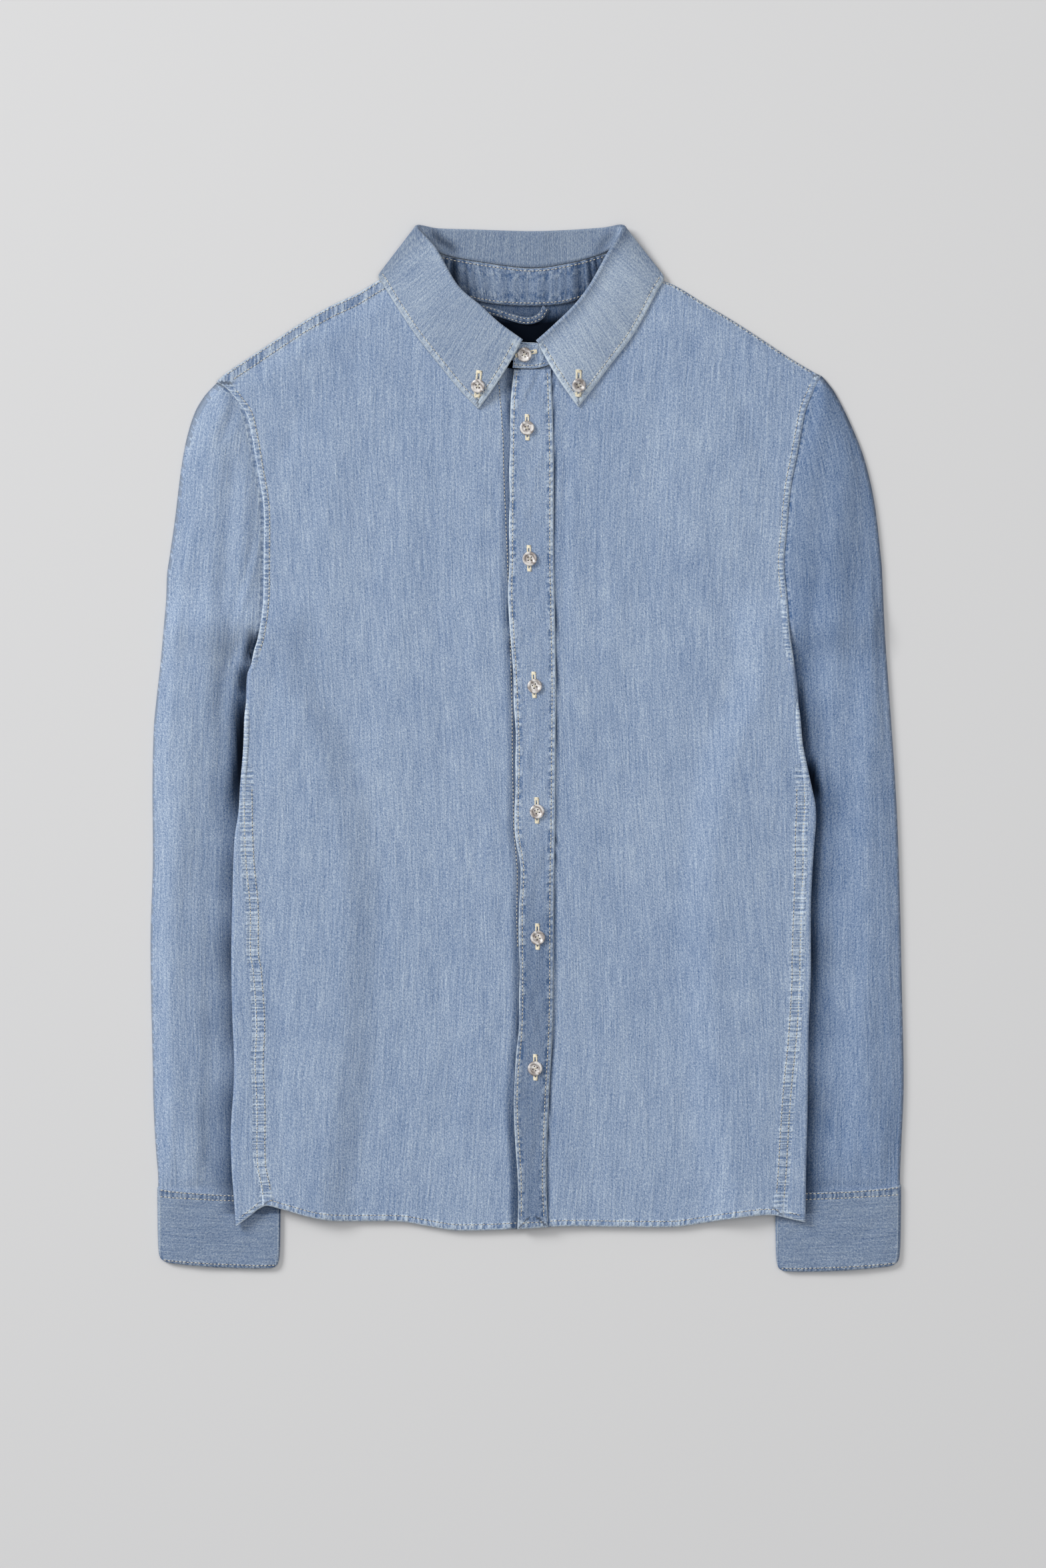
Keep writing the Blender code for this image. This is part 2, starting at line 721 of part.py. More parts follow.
def make_sleeve(name, side):
    rings = []
    for out_0, y_0, out_1, y_1, kept in SLEEVE_RINGS[side]:

        def bend(share, start=y_0, end=y_1, kept=kept):
            return kept * armhole_bow(side, share, start + (end - start) * share), 0.0

        def top_at(out, height):
            return sleeve_top(side, out, height)

        rings.append(ring_points((out_0, y_0), (out_1, y_1), bend, side, top_at, TABLE))
    return cloth(name, [rings], CLOTH, CHAMBRAY)


def make_cuff(name, side):
    out_0, y_0, out_1, y_1 = CUFF_TOP[side]
    floor = CUFF_WALL / 2
    rings = []
    for drop, width, sag in CUFF_RINGS:
        middle, half = (out_0 + out_1) / 2, (out_0 - out_1) / 2 * width
        turn = CUFF_TURN[side] * drop / CUFF_RINGS[-1][0]

        def bend(share, sag=sag):
            return 0.0, -sag * math.sin(math.pi * share)

        def top_at(out, height):
            beyond = ease(0, 30, out - side_line(side, height))
            return floor + CUFF_LAYERS + CUFF_PLUMP * beyond

        rings.append(
            ring_points(
                (middle + half, y_0 - drop - turn),
                (middle - half, y_1 - drop - turn),
                bend,
                side,
                top_at,
                floor,
            )
        )
    return cloth(name, [rings], CUFF_WALL, CHAMBRAY_BAND)


# ---------------------------------------------------------------- collar


def leaf_profile(fold, edge, seam, on_front):
    """From the stand seam up round the fold and down to the outer edge."""
    rise = (seam - fold).normalized()
    fall = (edge - fold).normalized()
    apex = -(rise + fall).normalized()
    across = (fall - rise).normalized()
    inside = fold - LEAF_FOLD * (apex + across)
    outside = fold - LEAF_FOLD * (apex - across)
    points = [seam, seam.lerp(inside, 0.5), inside, fold, outside]
    for step in range(1, LEAF_STEPS + 1):
        share = step / LEAF_STEPS
        point = outside.lerp(edge, share)
        if on_front > 0:
            point.z += on_front * LEAF_CROWN * math.sin(math.pi * share)
            point.z = max(point.z, lying_on_fronts(point.x, point.y))
        points.append(point)
    return points


def lying_on_fronts(across, height):
    """Middle of a collar wall that lies on the fronts."""
    under = front_height(across, height)
    if across > -14:
        under = left_front_height(across, height)
    if -16 < across < 24:
        under += ON_BACK
    return under + CLOTH / 2 + SEAM + BAND / 2 + FACET_ROOM


def make_leaf():
    steps = 2
    folds = smooth_route([row[0] for row in LEAF], steps)
    edges = []
    for _, (x, y, z), _ in LEAF:
        edges.append((x, y, lying_on_fronts(x, y) if z is None else z))
    edges = smooth_route(edges, steps)
    seams = smooth_route([row[2] for row in LEAF], steps)
    resting = smooth_route([(float(row[1][2] is None), 0, 0) for row in LEAF], steps)
    grid = [
        leaf_profile(fold, edge, seam, max(0.0, min(1.0, rest.x)))
        for fold, edge, seam, rest in zip(folds, edges, seams, resting)
    ]
    return cloth("collar_leaf", [grid], BAND, CHAMBRAY_BAND)


def make_stand():
    necks = smooth_route([row[0] for row in STAND], 2)
    tops = smooth_route([row[1] for row in STAND], 2)
    grid = []
    for neck, top in zip(necks, tops):
        grid.append([neck.lerp(top, share) for share in (0, 1 / 3, 2 / 3, 1)])
    return cloth("collar_stand", [grid], BAND, CHAMBRAY_BAND)


def make_loop():
    """The locker loop: a narrow tape lying on the yoke, its ends at the stand seam."""
    route = smooth_route([(x, y, 0) for x, y in LOOP_ROUTE], 4)
    grid = []
    for index, point in enumerate(route):
        before, after = route[max(index - 1, 0)], route[min(index + 1, len(route) - 1)]
        along = (after - before).normalized()
        side = Vector((-along.y, along.x, 0)) * LOOP_WIDTH / 2
        level = Vector((0, 0, TABLE + CLOTH + SEAM))
        grid.append([point - side + level, point + level, point + side + level])
    return cloth("locker_loop", [grid], CLOTH, CHAMBRAY_BAND)


# ---------------------------------------------------------------- buttons


def button_shape(scale):
    """A four-hole shirt button: a turned profile with a raised rim."""
    radius, height = BUTTON["radius"], BUTTON["height"]
    rim, dish = BUTTON["rim"], BUTTON["dish"]
    profile = (
        (0.0, height - dish),
        (radius - 2.2 * rim, height - dish),
        (radius - 1.5 * rim, height),
        (radius - 0.7 * rim, height),
        (radius, height * 0.62),
        (radius * 0.93, height * 0.22),
        (radius * 0.6, 0.0),
        (0.0, 0.0),
    )
    shape = bmesh.new()
    verts = [shape.verts.new(Vector((r * scale, 0, z)) * MM) for r, z in profile]
    edges = [shape.edges.new(pair) for pair in zip(verts, verts[1:])]
    bmesh.ops.spin(
        shape,
        geom=verts + edges,
        axis=(0, 0, 1),
        cent=(0, 0, 0),
        angle=math.tau,
        steps=BUTTON_SIDES,
        use_merge=True,
    )
    bmesh.ops.remove_doubles(shape, verts=shape.verts, dist=0.02 * MM)
    bmesh.ops.recalc_face_normals(shape, faces=shape.faces)
    return shape


def hole_cutter():
    """The four thread holes, cut from every button."""
    shape = bmesh.new()
    for dx in (-1, 1):
        for dy in (-1, 1):
            made = bmesh.ops.create_cone(
                shape,
                cap_ends=True,
                segments=8,
                radius1=BUTTON["hole"] * MM,
                radius2=BUTTON["hole"] * MM,
                depth=BUTTON["height"] * 3 * MM,
            )
            move = Vector((dx, dy, 0)) * BUTTON["spread"] * MM
            bmesh.ops.translate(shape, verts=made["verts"], vec=move)
    cutter = add_piece("button_holes", shape, SHELL)
    cutter.hide_render = True
    cutter.display_type = "WIRE"
    return cutter


def surface_under(carrier, x, y):
    """The highest point of a piece at x, y and the direction it faces, from points around it."""
    graph = bpy.context.evaluated_depsgraph_get()
    tree = BVHTree.FromObject(carrier, graph)

    def drop(dx, dy):
        start = Vector((x + dx, y + dy, 100)) * MM
        return tree.ray_cast(start, Vector((0, 0, -1)))[0] / MM

    reach = 4.0
    east, west, north, south = drop(reach, 0), drop(-reach, 0), drop(0, reach), drop(0, -reach)
    facing = (east - west).cross(north - south).normalized()
    bulge = (drop(0, 0) - (east + west + north + south) / 4).dot(facing)
    middle = (east + west + north + south) / 4
    return middle + facing * max(0.0, bulge), facing


def make_buttons(placket, stand, leaf):
    cutter = hole_cutter()
    carriers = {}
    for index, (x, y) in enumerate(FRONT_BUTTONS, start=1):
        carriers[f"front_button_{index}"] = (placket, x, y, 1.0)
    carriers["stand_button"] = (stand, *STAND_BUTTON, 1.0)
    carriers["point_button_right"] = (leaf, *POINT_BUTTONS[RIGHT], POINT_BUTTON_SCALE)
    carriers["point_button_left"] = (leaf, *POINT_BUTTONS[LEFT], POINT_BUTTON_SCALE)
    for name, (carrier, x, y, scale) in carriers.items():
        place, facing = surface_under(carrier, x, y)
        button = add_piece(name, button_shape(scale), SHELL)
        holes = button.modifiers.new("holes", "BOOLEAN")
        holes.operation = "DIFFERENCE"
        holes.object = cutter
        bpy.context.view_layer.update()
        cut = bpy.data.meshes.new_from_object(
            button.evaluated_get(bpy.context.evaluated_depsgraph_get())
        )
        button.modifiers.clear()
        button.data = cut
        button.location = (place + facing * SEAM) * MM
        button.rotation_euler = facing.to_track_quat("Z", "Y").to_euler()


def main():
    for existing in list(bpy.data.objects):
        bpy.data.objects.remove(existing)
    make_back()
    make_yoke()
    make_front("front_right", RIGHT, right_middle, front_height)
    make_front("front_left", LEFT, left_middle, left_front_height)
    placket = make_placket()
    make_sleeve("sleeve_right", RIGHT)
    make_sleeve("sleeve_left", LEFT)
    make_cuff("cuff_right", RIGHT)
    make_cuff("cuff_left", LEFT)
    stand = make_stand()
    leaf = make_leaf()
    make_loop()
    bpy.context.view_layer.update()
    make_buttons(placket, stand, leaf)


main()
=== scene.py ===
import math

import bmesh
import bpy
import numpy as np
from mathutils import Matrix, Vector
from mathutils.bvhtree import BVHTree


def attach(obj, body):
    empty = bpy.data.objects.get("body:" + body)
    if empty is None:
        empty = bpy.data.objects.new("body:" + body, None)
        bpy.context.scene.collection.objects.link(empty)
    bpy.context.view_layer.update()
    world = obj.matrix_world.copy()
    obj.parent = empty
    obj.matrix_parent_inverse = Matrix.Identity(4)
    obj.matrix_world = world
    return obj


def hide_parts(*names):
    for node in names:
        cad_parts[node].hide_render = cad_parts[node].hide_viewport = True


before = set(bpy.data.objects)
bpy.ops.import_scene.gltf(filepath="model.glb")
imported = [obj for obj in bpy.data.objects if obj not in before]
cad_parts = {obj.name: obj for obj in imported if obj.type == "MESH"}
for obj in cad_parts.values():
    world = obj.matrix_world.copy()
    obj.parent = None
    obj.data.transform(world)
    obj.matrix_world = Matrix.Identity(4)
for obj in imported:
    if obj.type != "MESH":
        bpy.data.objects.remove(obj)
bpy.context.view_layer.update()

MM = 0.001  # sizes below are in millimetres, as a tailor writes them
RIGHT, LEFT = -1, 1  # the wearer's right lies at -X

# ---------------------------------------------------------------- table and light
# The shirt lies on its back on a plain pale table. The camera hangs straight over it, and one
# large soft light stands at the upper left, with a weaker one above and an even sky.
CAMERA = (-2.75, -27.5, 4008.0)
VIEW_HEIGHT = 1175.5  # of the shirt's level, from the picture's top to its foot
VIEW_FROM = 4000.0  # the camera's height over that level
SENSOR = 36.0
SKY_STRENGTH = 0.30
TABLE_COLOUR, TABLE_HALF = (0.75, 0.75, 0.755), 3.0  # half its side, in metres


def put(name, data):
    """A new object of the scene."""
    made = bpy.data.objects.new(name, data)
    bpy.context.collection.objects.link(made)
    return made


def mesh_of(name, shape):
    """A mesh that takes a bmesh's shape; the bmesh is freed."""
    mesh = bpy.data.meshes.new(name)
    shape.to_mesh(mesh)
    shape.free()
    return mesh


camera = put("camera", bpy.data.cameras.new("camera"))
camera.location = Vector(CAMERA) * MM
camera.data.sensor_width = SENSOR
camera.data.lens = SENSOR * VIEW_FROM / VIEW_HEIGHT
bpy.context.scene.camera = camera

# Name, place in metres, width in metres, power in watts.
LAMPS = (
    ("window", (-4.6, 3.0, 3.8), 2.6, 292.0),
    ("ceiling", (0.3, 0.2, 3.2), 2.4, 28.0),
)
for name, place, width, power in LAMPS:
    lamp = put(name, bpy.data.lights.new(name, "AREA"))
    lamp.data.size = width
    lamp.data.energy = power
    lamp.location = place
    lamp.rotation_euler = (-lamp.location).to_track_quat("-Z", "Y").to_euler()

world = bpy.data.worlds.new("sky")
world.use_nodes = True
sky = world.node_tree.nodes["Background"].inputs
sky["Color"].default_value = (1.0, 1.0, 1.0, 1.0)
sky["Strength"].default_value = SKY_STRENGTH
bpy.context.scene.world = world
bpy.context.scene.view_settings.view_transform = "Standard"


def finish_of(name, **numbers):
    """A new material, its shader, and its links. numbers set the shader's own sockets."""
    finish = bpy.data.materials.new(name)
    finish.use_nodes = True
    tree = finish.node_tree
    shader = tree.nodes["Principled BSDF"]
    for key, value in numbers.items():
        shader.inputs[key.replace("_", " ")].default_value = value
    return finish, shader, tree


table = bmesh.new()
bmesh.ops.create_grid(table, x_segments=1, y_segments=1, size=TABLE_HALF)
floor = put("table", mesh_of("table", table))
paint = finish_of("table_paint", Base_Color=(*TABLE_COLOUR, 1.0), Roughness=0.95, Specular_IOR_Level=0.0)[0]
floor.data.materials.append(paint)

# ---------------------------------------------------------------- back
# The back panel: one layer of washed chambray, blue warp and white weft, lying on the table. Its
# two sides turn up over the side folds and end at the felled side seams on the front.
CLOTH = 1.2  # the room that one layer takes, as in the solids
SHELL = 0.7  # what shows of its thickness
SEAM = 0.3  # the air between two layers
TABLE = CLOTH / 2  # the middle of a layer that lies on the table
LIFT = 6.2  # how far the sleeves underneath lift the body
LIFT_RUN, LIFT_CLEAR = 56.0, 24.0  # in from the sleeve's inner fold: no lift yet, and all of it
LIFT_END, LIFT_FULL = 125.0, 84.0  # heights: no lift above, all of it below
FOLD_RISE = 2.7  # how far the side fold stands up
ON_BACK = CLOTH + SEAM
UNDERARM = 54.0  # heights, from the shirt's middle towards the collar
YOKE_SEAM = 250.0
BACK_NECK = 336.0
SEAM_TOP = 30.0  # above this a front's edge is the side fold
SIDE_GAP = 0.2
BACK_INSET = 0.6  # how far the back ends inside the armhole

# Side fold from the hem to the underarm, then the armhole seam: height, distance out.
SIDE_LINE = {
    RIGHT: (
        (-358.8, 217.4), (-294.8, 221.2), (-243.3, 218.6), (-200, 220), (-156.8, 220.8),
        (-108.8, 219.8), (-69.3, 218.4), (-47.8, 215.3), (-29.3, 214.2), (-0.3, 211.8),
        (35.3, 210.8), (54.3, 209.8), (62.3, 206.8), (72.3, 204.6), (80.8, 202),
        (95.8, 199.3), (112.3, 197.9), (145.3, 197.6), (170.3, 197.4), (186.8, 198.4),
        (204.8, 201.6), (223.8, 204.8), (237.3, 207.3), (249.8, 210.6), (257.8, 215.8),
        (268.3, 224.6), (274.8, 233.4),
    ),
    LEFT: (
        (-355.8, 208.3), (-311.8, 208.9), (-277.3, 209.8), (-208.8, 210.8), (-169.8, 212.4),
        (-118.8, 212.4), (-80.3, 214.3), (-55.8, 216.2), (-43.3, 215.8), (-30.8, 213.3),
        (-18.3, 210.6), (2.3, 206.4), (18.8, 204.9), (43.8, 203.4), (66.8, 200.2),
        (87.3, 197.3), (112.3, 195.6), (137.3, 193.4), (160.3, 195.2), (194.8, 198.4),
        (219.8, 203.2), (243.8, 207.6), (255.3, 210.4), (269.8, 216.6), (277.3, 220.4),
        (279.3, 221.4),
    ),
}
# Edge of each front on the side seam: height, distance out.
SIDE_SEAM = {
    RIGHT: (
        (-343.3, 198), (-329.3, 199.6), (-311.8, 202.9), (-268.8, 203.2), (-236.3, 204.6),
        (-208.8, 203.4), (-165.8, 206.2), (-156.8, 208), (-118.8, 208.3), (-93.8, 210.8),
        (-69.3, 212.3), (-16.8, 213), (20, 213),
    ),
    LEFT: (
        (-346.3, 193.2), (-320.8, 195.3), (-286.3, 197.3), (-251.8, 199.8), (-217.3, 203.3),
        (-174.3, 205.8), (-156.8, 205.9), (-89.8, 208.2), (-64.3, 208.4), (-47.8, 209.3),
        (-22.8, 209.4), (20, 209.4),
    ),
}
# Inner folds of the sleeves, which lie under the body: height, distance out.
INNER_FOLD = {
    RIGHT: (
        (-333, 181), (-308, 176), (-272, 171), (-228, 167), (-182, 164),
        (-132, 163), (-90, 165), (-50, 170), (-16, 178), (8, 187),
        (27, 197), (41, 206), (58, 210),
    ),
    LEFT: (
        (-330.5, 184), (-305, 179), (-272, 174), (-228, 170), (-182, 167),
        (-132, 166), (-90, 168), (-50, 173), (-16, 180), (8, 188),
        (27, 197), (41, 202), (58, 205),
    ),
}
# Hem, from the wearer's right to the left: across, height.
HEM = (
    (-217.4, -358.8), (-207, -351), (-197, -343.8), (-183.7, -346.2), (-162.3, -352.2),
    (-141.8, -355.2), (-94.8, -355.8), (-73.8, -359.3), (-51.8, -362.5), (-7.3, -361.3),
    (27.8, -359.3), (68.3, -359.8), (111.3, -359.8), (129.8, -357.3), (150.3, -353.8),
    (174.8, -350.8), (186.8, -350.8), (191.8, -352), (208.3, -355.8),
)
# Shoulder line: distance out, height.
SHOULDER_LINE = {
    RIGHT: (
        (91, 361), (98.3, 358), (110.3, 351.8), (126.8, 341.8), (146.8, 332.3),
        (166.3, 321.3), (186.3, 308.3), (205.8, 295.3), (225.8, 281.8), (233.7, 274.8),
    ),
    LEFT: (
        (82, 361), (100.8, 351.3), (111.8, 346.8), (132.8, 333.8), (153.8, 321.3),
        (174.8, 307.8), (195.8, 293.8), (216.8, 281.3), (221.5, 279.3),
    ),
}


def ease(low, high, value):
    """0 below low, 1 above high, and a smooth step between."""
    share = np.clip((value - low) / (high - low), 0.0, 1.0)
    return share * share * (3 - 2 * share)


def groove(value, at, width):
    """1 at a place and falling to nothing beside it, as a stitched groove does."""
    return np.exp(-(((value - at) / width) ** 2))


def rolled(edge, width):
    """1 at an edge and 0 from width inside it, round between."""
    return np.clip(1 - edge / width, 0, 1) ** 2


def follow(rows, key, column=1):
    """A column's value at key, on a smooth curve through rows that rise in their first column."""
    rows = np.array(rows, float)
    keys, values = rows[:, 0], rows[:, column]
    key = np.clip(key, keys[0], keys[-1])
    here = np.clip(np.searchsorted(keys, key, side="right") - 1, 0, len(keys) - 2)
    low, high = np.maximum(np.arange(len(keys)) - 1, 0), np.minimum(np.arange(len(keys)) + 1, len(keys) - 1)
    slopes = (values[high] - values[low]) / (keys[high] - keys[low])
    span = keys[here + 1] - keys[here]
    t = (key - keys[here]) / span
    return (
        (2 * t**3 - 3 * t**2 + 1) * values[here]
        + (t**3 - 2 * t**2 + t) * slopes[here] * span
        + (3 * t**2 - 2 * t**3) * values[here + 1]
        + (t**3 - t**2) * slopes[here + 1] * span
    )


def side_line(side, height):
    return follow(SIDE_LINE[side], height)


def side_seam(side, height):
    """Distance out to a front's edge: the side seam, or the side fold above its start."""
    fold = side_line(side, height) - SIDE_GAP
    return np.where(height > SEAM_TOP, fold, np.minimum(follow(SIDE_SEAM[side], height), fold))


def by_side(across, rule):
    """rule(side) where the wearer's right or left half lies."""
    return np.where(across < 0, rule(RIGHT), rule(LEFT))


def body_lift(across, height):
    """How far the sleeve underneath lifts the body at this place."""

    def over(side):
        inner = follow(INNER_FOLD[side], height)
        return ease(0, 1, (np.abs(across) - inner + LIFT_RUN) / (LIFT_RUN - LIFT_CLEAR))

    return LIFT * by_side(across, over) * ease(LIFT_END, LIFT_FULL, height)


def back_height(across, height):
    return TABLE + body_lift(across, height)


def waves(x, y, sizes):
    """Soft unevenness: rows of (depth, wavelength along X, wavelength along Y, phase)."""
    total = np.zeros_like(x)
    for depth, long_x, long_y, phase in sizes:
        bend = 0.9 * np.sin(y * math.tau / (long_y * 1.7) + phase * 2.3)
        total += depth * np.sin(x * math.tau / long_x + bend + phase) * np.sin(
            y * math.tau / long_y + 0.8 * np.sin(x * math.tau / (long_x * 1.9) + phase) + phase * 1.7
        )
    return total


def creases(x, y, rows):
    """Troughs (depth < 0) and ridges given in rows: x, y, length, width, depth, lean in degrees."""
    total = np.zeros_like(x)
    for at_x, at_y, length, width, depth, lean in rows:
        turn = math.radians(lean)
        along = (y - at_y) * math.cos(turn) + (x - at_x) * math.sin(turn)
        aside = (x - at_x) * math.cos(turn) - (y - at_y) * math.sin(turn)
        aside = aside + 0.12 * width * np.sin(along * math.tau / length * 1.3 + at_x)
        total += depth * np.exp(-((aside / width) ** 2) - (2 * along / length) ** 4)
    return total


def gathers(run, rim, reach, period=5.0):
    """Ladder of small puckers that a row of stitches draws up beside an edge."""
    uneven = np.sin(run / 7.3) + 0.6 * np.sin(run / 17.9 + 1.3)
    ladder = np.sin(run * math.tau / period + uneven * 1.4)
    strength = 0.62 + 0.38 * np.sin(run / 23.7 + 0.4 * uneven)
    return ladder * strength * ease(0.0, 0.25 * reach, rim) * ease(1.5 * reach, 0.75 * reach, rim)


THREADS = ("weft", "warp", "rim", "run", "shade")  # what a cloth piece tells its material
FAR = 99.0  # the rim of cloth that is nowhere near a seam
WELD = 0.005


def cloth_piece(name, columns, rows, shape, look, tube=False, wall=SHELL, centred=False):
    """A thin shell of cloth on a grid. shape(u, v) gives a dict of arrays: x, y, z of its face,
    weft and warp along the threads, rim and run beside the nearest seam, and shade, a darkening
    painted into its colour: painted shade in its folds, gaps and hollows, and in a few places a darker
    tone.
    Each piece starts at a weft of its own, so that no two show the same flecks.
    A tube is welded where u closes on itself. A centred piece has its wall on both sides."""
    grid = bmesh.new()
    bmesh.ops.create_grid(grid, x_segments=columns, y_segments=rows, size=1.0)
    mesh = mesh_of(name, grid)
    flat = np.empty(len(mesh.vertices) * 3)
    mesh.vertices.foreach_get("co", flat)
    flat = flat.reshape(-1, 3)
    laid = shape((flat[:, 0] + 1) / 2, (flat[:, 1] + 1) / 2)
    lowest = 0.0 if tube else wall / 2 if centred else wall
    placed = np.stack([laid["x"], laid["y"], np.maximum(laid["z"], lowest)], 1) * MM
    mesh.vertices.foreach_set("co", placed.ravel())
    for key in THREADS:
        numbers = mesh.attributes.new(key, "FLOAT", "POINT")
        values = np.broadcast_to(laid.get(key, FAR if key == "rim" else 0.0), len(flat))
        numbers.data.foreach_set("value", values.astype(np.float32))
    mesh.update()
    if tube:
        ring = bmesh.new()
        ring.from_mesh(mesh)
        bmesh.ops.remove_doubles(ring, verts=ring.verts, dist=WELD * MM)
        bmesh.ops.recalc_face_normals(ring, faces=ring.faces)
        ring.to_mesh(mesh)
        ring.free()
    elif sum(face.normal.z * face.area for face in mesh.polygons) < 0:
        mesh.flip_normals()
    mesh.shade_smooth()
    piece = put(name, mesh)
    mesh.materials.append(look)
    thick = piece.modifiers.new("wall", "SOLIDIFY")
    thick.thickness = wall * MM
    thick.offset = 0.0 if centred else -1.0
    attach(piece, "root")
    return piece


class Wire:
    """A socket of a material. Arithmetic on it adds Math nodes, and node() adds any other."""

    def __init__(self, tree, socket=None):
        self.tree, self.socket = tree, socket

    def node(self, kind, inputs=None, output=0, stops=None, **settings):
        made = self.tree.nodes.new(kind)
        for key, value in settings.items():
            setattr(made, key, value)
        for index, (at, colour) in enumerate(stops or ()):
            ramp = made.color_ramp.elements
            stop = ramp[index] if index < 2 else ramp.new(at)
            stop.position, stop.color = at, colour
        for key, value in (inputs or {}).items():
            if isinstance(value, Wire):
                self.tree.links.new(value.socket, made.inputs[key])
            else:
                made.inputs[key].default_value = value
        return Wire(self.tree, made.outputs[output])

    def math(self, operation, *values):
        return self.node("ShaderNodeMath", dict(enumerate(values)), operation=operation)

    def __add__(self, other):
        return self.math("ADD", self, other)

    def __radd__(self, other):
        return self.math("ADD", other, self)

    def __sub__(self, other):
        return self.math("SUBTRACT", self, other)

    def __rsub__(self, other):
        return self.math("SUBTRACT", other, self)

    def __mul__(self, other):
        return self.math("MULTIPLY", self, other)

    def __rmul__(self, other):
        return self.math("MULTIPLY", other, self)

    def step(self, low, high):
        """0 at low, 1 at high, smooth between; low may be the greater."""
        inputs = {0: self, 1: min(low, high), 2: max(low, high), 3: 0.0, 4: 1.0}
        rise = self.node("ShaderNodeMapRange", inputs, interpolation_type="SMOOTHSTEP")
        return rise if low < high else 1 - rise

    def noise(self, across, along, detail=2.0, rough=0.5):
        """Noise between 0 and 1 at a place given in waves across and along."""
        place = self.node("ShaderNodeCombineXYZ", {0: across, 1: along})
        inputs = {"Vector": place, "Scale": 1.0, "Detail": detail, "Roughness": rough}
        return self.node("ShaderNodeTexNoise", inputs, noise_dimensions="2D")

    def ramp(self, *stops):
        """A colour for this number, from stops of (place, colour)."""
        return self.node("ShaderNodeValToRGB", {0: self}, stops=stops)

    def raises(self, shader, distance, strength):
        """Takes this number, 0 to 1, as the shader's relief; distance is in metres."""
        bump = {"Height": self, "Distance": distance, "Strength": strength}
        self.node("ShaderNodeBump", bump).feeds(shader, "Normal")

    def feeds(self, shader, key):
        self.tree.links.new(self.socket, shader.inputs[key])


def linear(red, green, blue):
    """A colour as a screen shows it, 0 to 255, as the shader's own numbers."""
    shares = [value / 255 for value in (red, green, blue)]
    return [share / 12.92 if share < 0.04 else ((share + 0.055) / 1.055) ** 2.4 for share in shares]


LIGHT_LOSS = 1.16  # the light here shows a colour this much darker than it is
DEEP_BLUE = (66, 97, 140)  # warp only, in seams and creases
BLUE = (139, 157, 184)
FADED = (198, 211, 223)  # where washing has worn the blue off
# The near black that painted shade mixes into the cloth's shader.
SHADE_BLACK = (0.004, 0.006, 0.011, 1.0)


def dyed(red, green, blue):
    return (*(share * LIGHT_LOSS for share in linear(red, green, blue)), 1.0)


def chambray(name, reach=1.1, tone=0.5, streak=1.0, ladder=1.0, wear=0.35, strip=0.0):
    """Washed chambray: streaks of slub along the warp, a fine slanting grain, pale worn edges and
    stitch rows, and puckers worn pale and dark. rim and reach count in widths of a seam's strip:
    rim is 0 at the edge and 1 at its stitch row, and the puckers end at reach. strip is how much
    paler the whole strip outside the row is. The noise is in waves to the millimetre."""
    finish, shader, tree = finish_of(
        name, Specular_IOR_Level=0.25, Sheen_Weight=0.12, Sheen_Roughness=0.5
    )
    start = Wire(tree)
    weft, warp, rim, run, shade = (
        start.node("ShaderNodeAttribute", attribute_name=key, output="Fac") for key in THREADS
    )
    drift = weft + 3.0 * (start.noise(weft * 0.011, warp * 0.016) - 0.5)
    broad = start.noise(drift * 0.16, warp * 0.0085, 3.0) - 0.5
    slub = start.noise(drift * 0.55, warp * 0.019, 3.0) - 0.5
    yarn = start.noise(drift * 1.0, warp * 0.055, 2.0) - 0.5
    cloud = start.noise(weft * 0.012, warp * 0.009, 2.0) - 0.5
    blot = start.noise(weft * 0.055, warp * 0.04, 2.0) - 0.5
    grain = start.noise((weft + warp * 0.5) * 0.78, (warp - weft * 0.5) * 0.42, 3.0, 0.7) - 0.5
    speck = start.noise(weft * 1.05, warp * 0.95, 3.0, 0.75) - 0.5
    shown = tone + streak * (0.14 * broad + 0.28 * slub + 0.48 * yarn) + 0.15 * cloud + 0.12 * blot
    # Painted shade: the shade attribute pulls the colour towards the deep blue here, and below it also
    # mixes the shader with a near-black diffuse.
    shown = shown + 0.85 * grain + 1.1 * speck - 0.45 * shade
    worn = start.noise(run * 0.21, rim * 0.3, 2.0).step(0.3, 0.62)
    edge = rim.step(0.36, 0.1) * (0.15 + 0.85 * worn)
    row = rim.step(0.78, 0.95) * rim.step(1.3, 1.08) * (0.15 + 0.85 * worn)
    rungs = start.noise(run * 0.3, rim * 0.35, 3.0).step(0.34, 0.66) - 0.5
    band = rim.step(0.1, 0.25) * rim.step(reach * 1.3, reach * 0.85)
    shown = shown + wear * (edge + 0.5 * row) + ladder * band * (0.5 * rungs - 0.06)
    shown = shown + strip * rim.step(1.0, 0.8)
    colours = shown.ramp((0.0, dyed(*DEEP_BLUE)), (1.0, dyed(*FADED)), (0.5, dyed(*BLUE)))
    colours.feeds(shader, "Base Color")
    # Painted shade: a near-black diffuse mixed in as far as the shade attribute says.
    deep = start.node("ShaderNodeBsdfDiffuse", {"Color": SHADE_BLACK})
    cloth = Wire(tree, shader.outputs["BSDF"])
    shaded = start.node("ShaderNodeMixShader", {0: shade, 1: cloth, 2: deep})
    shaded.feeds(tree.nodes["Material Output"], "Surface")
    relief = 0.5 * grain + 0.35 * speck + 0.5 * yarn + 0.8 * slub + ladder * band * rungs * 1.3
    relief.raises(shader, 0.45 * MM, 0.8)
    (0.88 + 0.1 * grain).feeds(shader, "Roughness")
    return finish


BODY_CLOTH = chambray("chambray_body", wear=0.45, strip=0.08)


